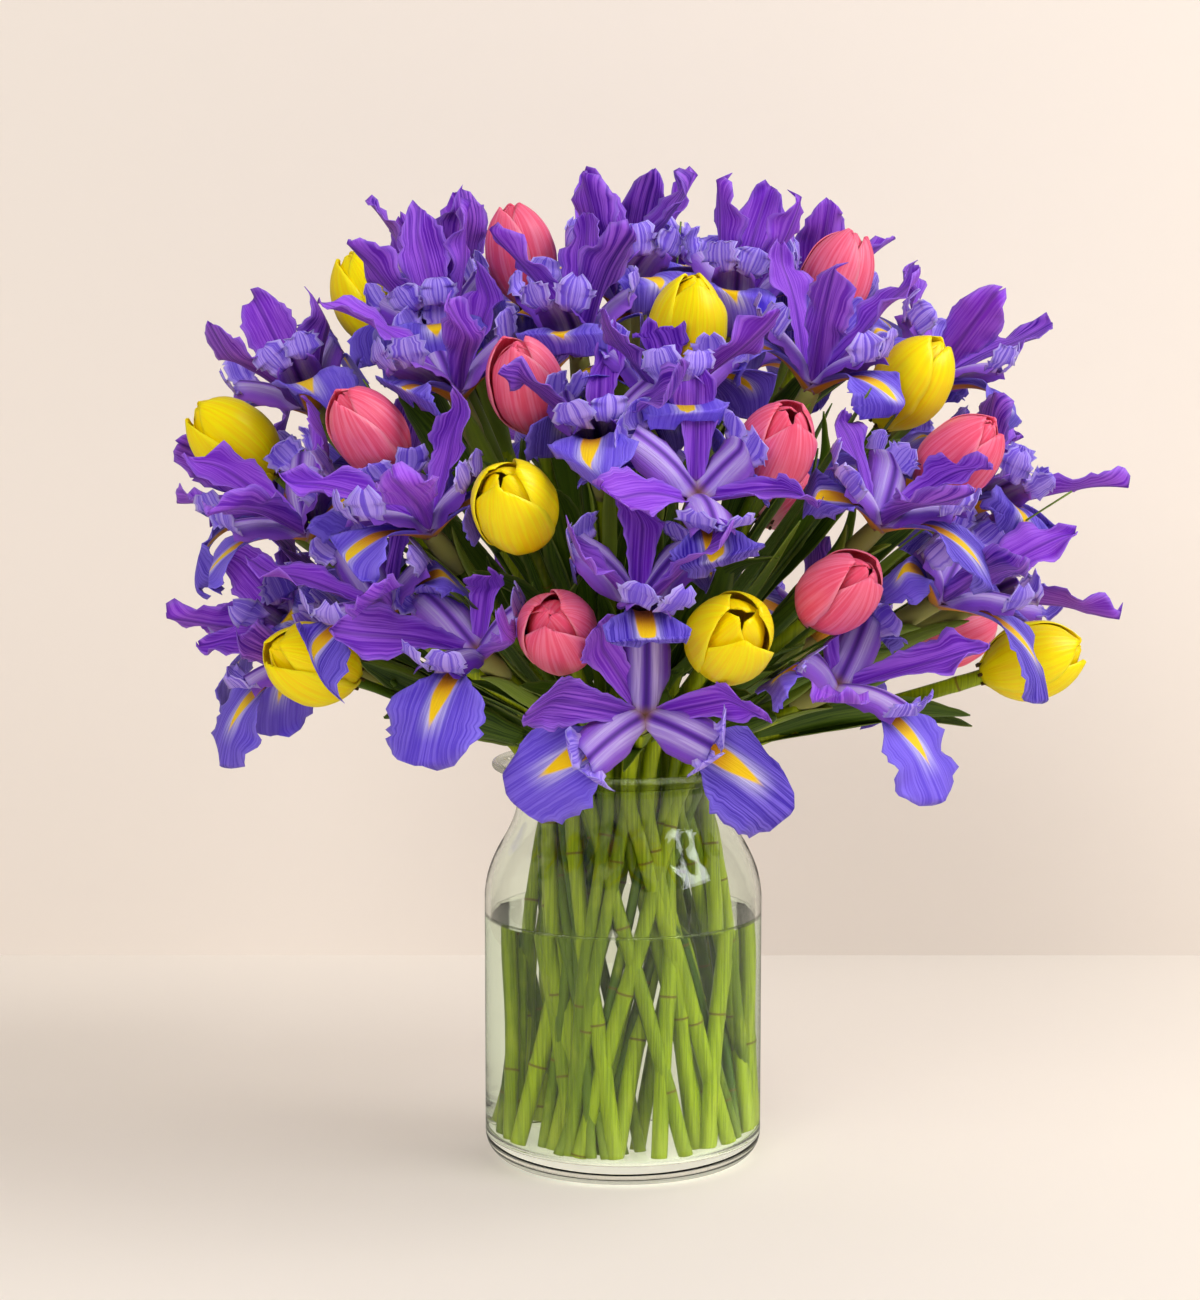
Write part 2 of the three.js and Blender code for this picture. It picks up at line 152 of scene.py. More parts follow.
TABLE_FRONT, TABLE_BACK = -3, 0.50  # the back is where the table meets the wall
TABLE_TOP = 0.1 * MM  # the base is seen resting on the table, with no film of air below it
HALF_ROOM, ROOM_HEIGHT = 1.5, 2.2
PAINT_LOST, ROOM_LOST = 0.75, 0.72  # share of their light that mirrored rays do not bring
PAINTED_POOL_UNDER_BASE, TABLE_GLOW = 0.66, 0.16  # how strongly the table glows: under the base a painted pool of light, where light through the glass would fall, and further out an even glow
PAINTED_POOL_EDGE = (50 * MM, 76 * MM)  # from the middle, where the painted pool of light gives way to the even glow

table_paint, tree, shader = new_material(
    "table paint", Roughness=0.75, Emission_Color=linear(252, 242, 230)
)
grain = add_node(tree, "ShaderNodeTexNoise", {"Scale": 2.0, "Detail": 3.0})
tone = blend(tree, grain.outputs["Fac"], linear(225, 216, 205), linear(228, 219, 209))
tree.links.new(tone, shader.inputs["Base Color"])
place = add_node(tree, "ShaderNodeTexCoord").outputs["Object"]
away = add_node(tree, "ShaderNodeVectorMath", {0: place}, operation="LENGTH").outputs["Value"]
# the table's emission: a painted pool of light under the base, fading to the even glow further out
pool_and_even_glow = calc(
    tree, "MULTIPLY_ADD", ease(tree, away, *PAINTED_POOL_EDGE), TABLE_GLOW - PAINTED_POOL_UNDER_BASE, PAINTED_POOL_UNDER_BASE
)
tree.links.new(pool_and_even_glow, shader.inputs["Emission Strength"])
shown(tree, mixed(tree, mirrored(tree, PAINT_LOST), shader))
wall_paint, tree, shader = new_material(
    "wall paint",
    Base_Color=linear(229, 219, 209),
    Roughness=0.9,
    Emission_Color=linear(252, 238, 224),
    Emission_Strength=0.1,
)
# from behind, the wall lets the bouquet be seen
behind = add_node(tree, "ShaderNodeNewGeometry").outputs["Backfacing"]
front = mixed(tree, mirrored(tree, PAINT_LOST), shader)
shown(tree, mixed(tree, behind, front, add_node(tree, "ShaderNodeBsdfTransparent")))
sides = (-HALF_ROOM, HALF_ROOM, HALF_ROOM, -HALF_ROOM)
depths = (TABLE_FRONT, TABLE_FRONT, TABLE_BACK, TABLE_BACK)
plain_sheet("table_top", [(x, y, TABLE_TOP) for x, y in zip(sides, depths)], table_paint)
heights = (0, 0, ROOM_HEIGHT, ROOM_HEIGHT)
plain_sheet("back_wall", [(x, TABLE_BACK, z) for x, z in zip(sides, heights)], wall_paint)


def soft_light(name, place, aim, size, watts, colour, seen=True):
    data = bpy.data.lights.new(name, "AREA")
    data.shape = "RECTANGLE"
    data.size, data.size_y = size
    data.energy = watts
    data.color = colour
    lamp = placed(name, data)
    lamp.location = place
    lamp.visible_glossy = lamp.visible_transmission = seen
    away = lamp.location - type(lamp.location)(aim)
    lamp.rotation_euler = away.to_track_quat("Z", "Y").to_euler()


soft_light("window_light", (2.1, -0.9, 2.1), (0, 0, 0.3), (1.7, 2.0), 66, (0.985, 0.99, 1.0))
soft_light("front_fill", (-1.2, -3.0, 2.2), (0, 0, 0.4), (2.2, 1.8), 65, (1, 0.99, 0.975), False)
# the room lights the flowers softly; through the glass it is as bright as the wall, and what
# the glass and the petals mirror of it is dimmer
world = bpy.data.worlds.new("studio")
world.use_nodes = True
tree = world.node_tree
lit = tree.nodes["Background"]
lit.inputs["Color"].default_value = (1.0, 0.985, 0.965, 1)
lit.inputs["Strength"].default_value = 0.25
strength = calc(tree, "SUBTRACT", 1.0, mirrored(tree, ROOM_LOST))
seen = add_node(
    tree, "ShaderNodeBackground", {"Color": linear(240, 228, 216), "Strength": strength}
)
diffuse = add_node(tree, "ShaderNodeLightPath").outputs["Is Diffuse Ray"]
shown(tree, mixed(tree, diffuse, seen, lit), "World Output")
bpy.context.scene.world = world
bpy.context.scene.view_settings.view_transform = "Standard"

camera_data = bpy.data.cameras.new("camera")
camera_data.sensor_width = 36
camera_data.lens = 77.7
camera = placed("camera", camera_data)
camera.location = (-0.0125, -1.5, 0.4365)
camera.rotation_euler = (math.radians(90 - 6.1), 0, 0)
bpy.context.scene.camera = camera


# ---- The glass jar vase ----
# One blown piece of clear, faintly green glass: a thick base, a thin wall, a shoulder drawn
# in to the neck, and a flared lip whose edge was melted round.

VASE_RADIUS = 75 * MM
WALL = 3 * MM
VASE_FLOOR = 11.4 * MM
VASE_SHOULDER = [  # radius and height of the outside, from the body up to the lip
    (75, 22), (75, 60), (75, 105), (75, 138), (74.7, 147), (72.6, 157.5), (68, 168.4),
    (62.8, 177.5), (59, 186), (57.2, 194), (57.6, 200), (60.2, 206), (64.6, 210.8), (68.6, 213.6),
]


def rounded(points, steps=5):
    """A smooth curve through points, steps to each span."""
    points = np.asarray(points, float)
    padded = np.vstack([2 * points[0] - points[1], points, 2 * points[-1] - points[-2]])
    share = np.linspace(0, 1, steps, endpoint=False)[:, None]
    spans = []
    for a, b, c, d in zip(padded, padded[1:], padded[2:], padded[3:]):
        bow = 2 * a - 5 * b + 4 * c - d + (3 * b - 3 * c + d - a) * share
        spans.append(b + 0.5 * share * (c - a + share * bow))
    return np.vstack([*spans, points[-1:]])


def arc(centre, radius, start, end, steps):
    turn = np.radians(np.linspace(start, end, steps))
    return np.stack([centre[0] + radius * np.cos(turn), centre[1] + radius * np.sin(turn)], 1)


def finished(name, mesh):
    """A smooth piece at the origin, its place in its mesh."""
    mesh.update()
    mesh.shade_smooth()
    return placed(name, mesh)


def turned(name, profile, sides):
    """A closed solid of revolution: profile runs from the axis out, up and back to the axis."""
    profile = np.asarray(profile)
    radii, heights = profile[1:-1, :1], profile[1:-1, 1:]
    turn = 2 * np.pi * np.arange(sides) / sides
    rings = [radii * np.cos(turn), radii * np.sin(turn), np.repeat(heights, sides, 1)]
    rings = np.stack(rings, 2).reshape(-1, 3)
    points = np.vstack([(0, 0, profile[0, 1]), rings, (0, 0, profile[-1, 1])])
    last = len(points) - 1
    faces = []
    for side in range(sides):
        after = (side + 1) % sides
        faces.append((0, 1 + after, 1 + side))
        faces.append((last, last - sides + side, last - sides + after))
        for ring in range(len(radii) - 1):
            low = 1 + ring * sides
            faces.append((low + side, low + after, low + sides + after, low + sides + side))
    mesh = bpy.data.meshes.new(name)
    mesh.from_pydata(points.tolist(), [], faces)
    return finished(name, mesh)


outside = rounded(VASE_SHOULDER) * MM
inside = rounded([(r - 3, z) for r, z in VASE_SHOULDER[:-1]])[::-1] * MM
lip = arc((0.0688, 0.2149), 0.0021, -70, 160, 9)
vase_profile = np.vstack(
    [
        [(0, 0), (0.03, 0), (0.052, 0)],
        arc((0.061, 0.014), 0.014, -90, 0, 9),
        outside,
        lip,
        inside,
        arc((0.0625, 0.0209), 0.0095, 0, -90, 8),
        [(0.05, 0.0112), (0.03, 0.0106), (0, 0.0104)],
    ]
)
vase = turned("jar_vase", vase_profile, 128)
clear_glass, tree, shader = new_material(
    "clear glass",
    Base_Color=linear(247, 253, 246),
    Roughness=0.0,
    IOR=1.46,
    Transmission_Weight=1.0,
    Specular_Tint=(0.95, 0.97, 1.0, 1),
)


def light_through(tree, shader, tint, thin_above, share):
    """Lets light through to the stems and the table as thin clear walls do, and shows more of
    what is behind it above a height where the wall runs out thin."""
    place = add_node(tree, "ShaderNodeTexCoord").outputs["Object"]
    height = add_node(tree, "ShaderNodeSeparateXYZ", {0: place}).outputs["Z"]
    thin = times(tree, ease(tree, height, thin_above, thin_above + 0.2 * MM), share)
    shadow = add_node(tree, "ShaderNodeLightPath").outputs["Is Shadow Ray"]
    clear = add_node(tree, "ShaderNodeBsdfTransparent", {"Color": tint})
    shown(tree, mixed(tree, calc(tree, "MAXIMUM", shadow, thin), shader, clear))


light_through(tree, shader, (0.95, 0.97, 0.95, 1), 209 * MM, 0.55)
vase.data.materials.append(clear_glass)
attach(vase, "root")
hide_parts("glass_vase")


# ---- The water ----
# Fresh water, filling the vase to about three fifths of its height. It wets the glass, so
# its skin creeps up a little all round the wall.

WATERLINE = 132.5 * MM
water_radius = VASE_RADIUS - WALL + 0.12 * MM
water_profile = np.vstack(
    [
        [(0, 0.0103), (0.03, 0.0105), (0.05, 0.0111)],
        arc((0.0625, 0.0209), 0.0095 + 0.12 * MM, -90, 0, 8),
        [(water_radius, 0.05), (water_radius, 0.1), (water_radius, WATERLINE)],
        [(water_radius, WATERLINE + 1.5 * MM), (water_radius, WATERLINE + 1.9 * MM)],
        [(water_radius - 0.3 * MM, WATERLINE + 1.1 * MM)],
        [(water_radius - 0.9 * MM, WATERLINE + 0.4 * MM)],
        [(water_radius - r * MM, WATERLINE) for r in (2.2, 2.5, 3, 4, 7)],
        [(0.03, WATERLINE), (0, WATERLINE)],
    ]
)
water = turned("water_in_vase", water_profile, 128)
clear_water, tree, shader = new_material(
    "clear water",
    Base_Color=linear(251, 254, 248),
    Roughness=0.0,
    IOR=1.2,
    Transmission_Weight=1.0,
    Specular_Tint=(0.3, 0.32, 0.32, 1),
)
light_through(tree, shader, (0.97, 0.98, 0.965, 1), WATERLINE - 0.3 * MM, 0.6)
water.data.materials.append(clear_water)
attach(water, "root")
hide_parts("water")


# ---- The cut stems ----
# Fresh green stems, cut off level and leaning on each other in the vase. They bunch at its
# neck and fan out from one point there, each one straight to its own flower.

MOUTH = np.array([0, 0, 210.0])
DOME_LOW, DOME_RISE, DOME_FLATTENED = 203, 55, 0.14
IRIS_THROAT = 32
STEM_RADIUS = 4.4
TULIP_ROOM = 5.6
TULIP_HEIGHT = 55

# [name, azimuth, height, spread, roll, openness, further out]: the way a bloom points, in
# degrees round from the front and above level; its share of the room beside its neighbours;
# where its first fall points; 0 for upright petals to 1 for petals laid flat; mm further out.
IRISES = [
    ["iris_front_star", 3, 17, 20, 0, 1, 4],
    ["iris_front_left", -24, 25, 11, 180, 0.8, 0],
    ["iris_front_right", 37, 20, 13, 165, 0.9, -4],
    ["iris_left_low", -40, 29, 10, 185, 0.7, 0],
    ["iris_left_hang", -64, 22, 10, 190, 0.7, -14],
    ["iris_left_wing", -80, 25, 10, 90, 0.5, -26],
    ["iris_right_low", 60, 29, 10, 170, 0.6, -6],
    ["iris_right_wing", 88, 26, 10, 144, 0.5, -14],
    ["iris_centre_star", 11, 42, 15, 180, 0.9, 5],
    ["iris_centre_left", -5, 50, 10, 60, 0.6, 0],
    ["iris_centre_low", 2, 31, 9, 180, 0.6, 0],
    ["iris_left_mid", -32, 38, 10, 194, 0.6, 0],
    ["iris_left_arch", -57, 36, 11, 200, 0.6, 0],
    ["iris_right_mid", 43, 38, 10, 160, 0.6, 0],
    ["iris_upper_left", -39, 57, 10, 180, 0.5, 0],
    ["iris_upper_far_left", -60, 65, 9, 120, 0.3, 0],
    ["iris_upper_middle", 9, 56, 10, 180, 0.6, 0],
    ["iris_upper_centre", -14, 67, 10, 60, 0.3, 0],
    ["iris_upper_right", 46, 58, 10, 180, 0.4, 0],
    ["iris_far_left", -79, 50, 10, 90, 0.4, 2],
    ["iris_far_left_low", -97, 36, 11, 150, 0.5, -14],
    ["iris_far_right", 90, 52, 11, 90, 0.4, 2],
    ["iris_far_right_low", 82, 38, 11, 120, 0.5, -12],
    ["iris_crown_front", -2, 80, 9, 150, 0.2, 0],
    ["iris_crown", 165, 83, 11, 60, 0.2, 0],
    ["iris_crown_right", 50, 73, 10, 120, 0.2, 0],
    ["iris_crown_left", -95, 70, 10, 0, 0.2, 0],
    ["iris_shoulder_right", 114, 65, 11, 0, 0.2, 5],
    ["iris_shoulder_left", -125, 63, 11, 0, 0.2, 5],
    ["iris_back_upper_right", 150, 60, 13, 90, 0.4, 0],
    ["iris_back_upper_left", -158, 62, 13, 30, 0.4, 0],
    ["iris_back_left", -135, 35, 14, 180, 0.6, 0],
    ["iris_back_middle", -172, 40, 14, 170, 0.6, 0],
    ["iris_back_right", 120, 37, 14, 190, 0.6, 0],
    ["iris_back_low_right", 140, 18, 14, 180, 0.8, 0],
    ["iris_back_low_left", -153, 18, 14, 175, 0.8, 0],
    ["iris_back_low_side", -118, 19, 14, 185, 0.7, 0],
]
# [name, azimuth, height, openness, further out]
TULIPS = [
    ["tulip_yellow_upper_left", -80, 62, 0.1, 30],
    ["tulip_yellow_upper_middle", 17, 66, 0, 16],
    ["tulip_yellow_upper_right", 62, 52, 0, 18],
    ["tulip_yellow_far_left", -74, 41, 0.1, 26],
    ["tulip_yellow_centre", -16, 39, 0.3, 16],
    ["tulip_yellow_low_right", 15, 26, 0.5, 14],
    ["tulip_yellow_low_left", -49, 20, 0.1, 26],
    ["tulip_yellow_far_right", 76, 17, 0.1, 30],
    ["tulip_yellow_back", 172, 18, 0.1, 12],
    ["tulip_pink_upper_left", -57, 77, 0, 28],
    ["tulip_pink_upper_right", 80, 67, 0, 30],
    ["tulip_pink_centre_left", -19, 55, 0.1, 16],
    ["tulip_pink_left", -44, 46, 0.1, 18],
    ["tulip_pink_centre_right", 24, 46, 0.3, 14],
    ["tulip_pink_right", 55, 41, 0, 24],
    ["tulip_pink_low_right", 32, 30, 0.2, 14],
    ["tulip_pink_low_left", -10, 27, 0.1, 12],
    ["tulip_pink_back", 150, 37, 0.1, 12],
    ["tulip_pink_back_side", 110, 19, 0.1, 12],
]


def direction(azimuth, height):
    a, h = math.radians(azimuth), math.radians(height)
    return np.array(
        [math.cos(h) * math.sin(a), -math.cos(h) * math.cos(a), math.sin(h)]
    )


def unit(vector):
    return vector / np.linalg.norm(vector, axis=-1, keepdims=True)


def dome_reach(azimuth, height):
    share = min(max((height - 15) / 30, 0), 1)
    rise = DOME_RISE * share * share * (3 - 2 * share)
    facing = math.cos(math.radians(height)) * abs(math.cos(math.radians(azimuth)))
    return (DOME_LOW + rise) * (1 - DOME_FLATTENED * facing)


flowers = []
for name, azimuth, height, *own, openness, further in IRISES + TULIPS:
    spread, roll = own or (None, None)
    seat = dome_reach(azimuth, height) + further - (IRIS_THROAT if own else TULIP_HEIGHT / 2)
    flowers.append(
        dict(name=name, azimuth=azimuth, height=height, spread=spread, roll=roll, open=openness,
             seat=seat, holds=None if own else TULIP_ROOM, axis=direction(azimuth, height),
             upward=direction(azimuth, height + 90))
    )
irises, tulips = flowers[: len(IRISES)], flowers[len(IRISES) :]


def draws(seed):
    """The same draws as the solids use, from 0 to 1."""
    state = seed
    while True:
        state = state * 16807 % 2147483647
        yield state / 2147483647


STEM_DRAWS = draws(47)
LOOSENED, BELLY = 0.15, 0.12  # shares by which the bunch stands wider than its solid
WAIST_HEIGHT, WAIST_RADIUS, FOOT_RADIUS, SWING_ON, FAN_OUT = 202, 42, 55, 4, 70
FOOT_SWING, CROSSING = 14, 4  # every fourth stem swings four times as far, across the others
stem_solid = np.empty(len(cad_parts["stems"].data.vertices) * 3)
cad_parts["stems"].data.vertices.foreach_get("co", stem_solid)
stem_solid = stem_solid.reshape(-1, 3) / MM
stem_feet = stem_solid[stem_solid[:, 2] < 20]


def stem_line(flower, swing, foot_radius):
    """Foot, waist, fan-out and top of a stem, as in the solids."""
    outward = math.cos(math.radians(flower["height"])) ** 0.6
    foot = direction(flower["azimuth"] + swing, 0) * foot_radius
    foot[2] = VASE_FLOOR / MM + 0.3
    waist = direction(flower["azimuth"], 0) * WAIST_RADIUS * outward
    waist[2] = WAIST_HEIGHT
    lean = math.acos(unit(waist - foot)[2])
    foot[2] += STEM_RADIUS * math.sin(lean)
    axis = flower["axis"]
    return [foot, waist, MOUTH + axis * FAN_OUT, MOUTH + axis * (flower["seat"] - 0.3)]


for number, flower in enumerate(flowers):
    outward = math.cos(math.radians(flower["height"])) ** 0.6
    foot_radius = FOOT_RADIUS * max(outward, 0.25 + 0.7 * next(STEM_DRAWS))
    swing = (next(STEM_DRAWS) * 2 - 1) * FOOT_SWING * (1 if number % 4 else CROSSING)
    # some feet were swung on until their stem leaned on the bunch: the solids show how far
    turns = [0] + [side * turn for turn in range(SWING_ON, 180, SWING_ON) for side in (1, -1)]
    lines = [stem_line(flower, swing + turn, foot_radius) for turn in turns]
    misses = [np.abs(stem_feet - line[0]).sum(1).min() for line in lines]
    nearest = next((i for i, miss in enumerate(misses) if miss < 0.1), 0)
    flower["stem"] = lines[nearest]


# most stems trade feet with another further round the bunch, and so cross in the vase
trades = np.random.default_rng(8)
waiting = list(trades.permutation(len(flowers)))
while waiting:
    one = flowers[waiting.pop()]
    for number in waiting:
        two = flowers[number]
        apart = abs((one["azimuth"] - two["azimuth"] + 180) % 360 - 180)
        if 22 < apart < 75:
            one["stem"][0], two["stem"][0] = two["stem"][0], one["stem"][0]
            waiting.remove(number)
            break


def stem_curves():
    """One smooth line for each stem, straight in the vase and softly bent at the neck."""
    wobble = np.random.default_rng(5)
    data = bpy.data.curves.new("stem lines", "CURVE")
    data.dimensions = "3D"
    for flower in flowers:
        foot, waist, fan, top = flower["stem"]
        bow = wobble.normal(0, 0.5, 3)
        points = rounded(
            [foot, foot * 0.5 + waist * 0.5 + bow, foot * 0.16 + waist * 0.84, waist, fan,
             fan * 0.45 + top * 0.55, top],
            8,
        )
        # in the vase the bunch leans out towards the glass, most near the waterline
        loosened = LOOSENED * np.clip((FAN_OUT + MOUTH[2] - points[:, 2:]) / FAN_OUT, 0, 1)
        belly = BELLY * np.exp(-(((points[:, 2:] - 125) / 42) ** 2))
        points[:, :2] *= 1 + loosened + belly
        line = data.splines.new("POLY")
        line.points.add(len(points) - 1)
        flat = np.hstack([points * MM, np.ones((len(points), 1))])
        line.points.foreach_set("co", flat.ravel())
    return data


def geometry_tree(name, inputs):
    """A geometry tree with its named inputs, their identifiers, and what they give."""
    tree = bpy.data.node_groups.new(name, "GeometryNodeTree")
    tree.interface.new_socket("Geometry", in_out="INPUT", socket_type="NodeSocketGeometry")
    ids = {}
    for label, (kind, value) in inputs.items():
        made = tree.interface.new_socket(label, in_out="INPUT", socket_type="NodeSocket" + kind)
        if value is not None:
            made.default_value = value
        ids[label] = made.identifier
    tree.interface.new_socket("Geometry", in_out="OUTPUT", socket_type="NodeSocketGeometry")
    return tree, ids, add_node(tree, "NodeGroupInput").outputs


def stored(tree, geometry, name, value, **settings):
    """The geometry, carrying a value under a name for its material to read."""
    inputs = {"Geometry": geometry, "Name": name, "Value": value}
    return add_node(tree, "GeometryNodeStoreNamedAttribute", inputs, **settings).outputs[0]


def hand_out(tree, geometry, material):
    """Ends a geometry tree with real geometry in one material."""
    real = add_node(tree, "GeometryNodeRealizeInstances", {"Geometry": geometry}).outputs[0]
    dressed = add_node(tree, "GeometryNodeSetMaterial", {"Geometry": real, "Material": material})
    add_node(tree, "NodeGroupOutput", {"Geometry": dressed.outputs[0]})


def fade(tree, value, low, high):
    """1 where value is under low, 0 where it is over high, and smooth between."""
    return calc(tree, "SUBTRACT", 1.0, ease(tree, value, low, high))


def from_joint(tree, count):
    """How far count is from the joint that lies halfway between two whole numbers."""
    return calc(tree, "ABSOLUTE", calc(tree, "SUBTRACT", calc(tree, "FRACT", count), 0.5))


def stem_tree():
    """Round stems on lines, with leaf scars at uneven spacing and a taper to the flower."""
    tree, ids, given = geometry_tree(
        "round stems",
        {
            "Radius": ("Float", STEM_RADIUS * MM),
            "Sides": ("Int", 10),
            "Step": ("Float", 0.0035),
            "Between Scars": ("Float", 0.09),
            "Seed": ("Int", 3),
            "Material": ("Material", None),
        },
    )
    lines = add_node(
        tree, "GeometryNodeResampleCurve", {"Curve": given["Geometry"], "Length": given["Step"]},
        mode="LENGTH",
    )
    which = add_node(tree, "GeometryNodeCurveOfPoint").outputs["Curve Index"]
    drawn = add_node(tree, "FunctionNodeRandomValue", {"ID": which, "Seed": given["Seed"]})
    tone = drawn.outputs[1]
    along = add_node(tree, "GeometryNodeSplineParameter").outputs
    joints = calc(tree, "DIVIDE", along["Length"], given["Between Scars"])
    joints = calc(tree, "MULTIPLY_ADD", tone, 3.0, joints)
    scar = fade(tree, from_joint(tree, joints), 0.0, 0.035)
    swell = calc(tree, "MULTIPLY_ADD", scar, 0.12, 1.0)
    size = calc(tree, "MULTIPLY_ADD", tone, 0.5, 0.55)
    taper = calc(tree, "SUBTRACT", 1.0, times(tree, along["Factor"], 0.1))
    radius = times(tree, swell, size, given["Radius"], taper)
    current = lines.outputs["Curve"]
    for name, value in (("tone", tone), ("joints", joints), ("along", along["Factor"])):
        current = stored(tree, current, name, value)
    ring = add_node(
        tree, "GeometryNodeCurvePrimitiveCircle", {"Resolution": given["Sides"], "Radius": 1.0}
    )
    skin = add_node(
        tree, "GeometryNodeCurveToMesh",
        {"Curve": current, "Profile Curve": ring.outputs["Curve"], "Scale": radius,
         "Fill Caps": True},
    )
    hand_out(tree, skin.outputs["Mesh"], given["Material"])
    return tree, ids


def grown(name, data, tree, values):
    """The plain mesh that a geometry tree makes from data, with the tree's inputs set."""
    source = placed(name + " source", data)
    modifier = source.modifiers.new("tree", "NODES")
    modifier.node_group = tree
    for identifier, value in values.items():
        modifier[identifier] = value
    graph = bpy.context.evaluated_depsgraph_get()
    mesh = bpy.data.meshes.new_from_object(source.evaluated_get(graph), depsgraph=graph)
    bpy.data.objects.remove(source)
    mesh.name = name
    return mesh


def fine_lines():
    """Fine lines along a petal, a leaf or a stem: across and along it, and each its own."""
    tree = bpy.data.node_groups.new("fine lines", "ShaderNodeTree")
    for name in ("Across", "Along", "Seed"):
        tree.interface.new_socket(name, in_out="INPUT", socket_type="NodeSocketFloat")
    tree.interface.new_socket("Lines", in_out="OUTPUT", socket_type="NodeSocketFloat")
    given = add_node(tree, "NodeGroupInput").outputs
    apart = times(tree, given["Seed"], 37.0)
    place = add_node(
        tree, "ShaderNodeCombineXYZ", {"X": given["Across"], "Y": given["Along"], "Z": apart}
    )
    noise = add_node(
        tree, "ShaderNodeTexNoise",
        {"Vector": place.outputs[0], "Scale": 1.0, "Detail": 2.5, "Roughness": 0.62},
    )
    add_node(tree, "NodeGroupOutput", {"Lines": ease(tree, noise.outputs["Fac"], 0.36, 0.64)})
    return tree


FINE_LINES = fine_lines()


def lines_on(tree, across, along, seed):
    """Fine lines; across and along are each a socket and how finely it is divided."""
    inputs = {"Across": times(tree, *across), "Along": times(tree, *along), "Seed": seed}
    return add_node(tree, "ShaderNodeGroup", inputs, node_tree=FINE_LINES).outputs["Lines"]


def carried(tree, name):
    """A number that the mesh carries."""
    return add_node(tree, "ShaderNodeAttribute", attribute_name=name).outputs["Fac"]


def layered(tree, colour, *layers):
    """A colour with others laid over it: where each one lies, how strongly, and its colour."""
    for where, strength, over in layers:
        colour = blend(tree, times(tree, where, strength), colour, over)
    return colour


def coat(tree, shader, colour, relief, strength, depth):
    """Gives a shader its colour and a fine relief."""
    tree.links.new(colour, shader.inputs["Base Color"])
    inputs = {"Strength": strength, "Distance": depth, "Height": relief}
    bump = add_node(tree, "ShaderNodeBump", inputs)
    tree.links.new(bump.outputs[0], shader.inputs["Normal"])


stem_green, tree, shader = new_material("stem green", Roughness=0.4, Specular_IOR_Level=0.3)
tone, along, joints = (carried(tree, name) for name in ("tone", "along", "joints"))
place = add_node(tree, "ShaderNodeTexCoord").outputs["Object"]
blotch = add_node(tree, "ShaderNodeTexNoise", {"Vector": place, "Scale": 38.0, "Detail": 3.0})
axes = add_node(tree, "ShaderNodeSeparateXYZ", {0: place}).outputs
fibre = lines_on(tree, (axes["X"], 900.0), (axes["Z"], 30.0), tone)
pale_foot = fade(tree, along, 0.0, 0.09)
scar = fade(tree, from_joint(tree, joints), 0.003, 0.011)
green = layered(
    tree,
    blend(tree, tone, linear(46, 86, 0), linear(180, 198, 14)),
    (ease(tree, blotch.outputs["Fac"], 0.5, 0.85), 1.0, linear(190, 200, 48)),
    (fibre, 0.45, linear(60, 92, 0)),
    (pale_foot, 0.35, linear(194, 204, 92)),
    (scar, 0.8, linear(120, 92, 24)),
)
coat(tree, shader, green, fibre, 0.25, 0.4 * MM)

tree, ids = stem_tree()
stems = finished(
    "cut_stems", grown("cut_stems", stem_curves(), tree, {ids["Material"]: stem_green})
)
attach(stems, "root")
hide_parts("stems")


# ---- The leaves and spathes ----
# Slender green blades, channelled along their middle, which sheathe the stems and run up
# among the blooms, and two papery-edged spathes clasping the foot of every iris.

# [azimuth, height, tip beyond the mouth, width]
LEAVES = [
    [100, 84, 296, 8],
    [72, 33, 285, 8],
    [41, 49, 276, 14],
    [56, 50, 266, 12],
    [25, 23, 200, 15],
    [25, 37, 243, 13],
    [-49, 35, 250, 10],
    [-25, 31, 213, 11],
    [-32, 66, 262, 10],
    [-59, 54, 262, 10],
    [133, 50, 256, 14],
    [-150, 47, 254, 13],
    [163, 27, 225, 14],
    [-135, 18, 215, 14],
]
LEAF_ROOM = 2.3


def step(low, high, value):
    """0 under low, 1 over high, and smooth between, for numbers and arrays."""
    share = np.clip((value - low) / (high - low), 0, 1)
    return share * share * (3 - 2 * share)


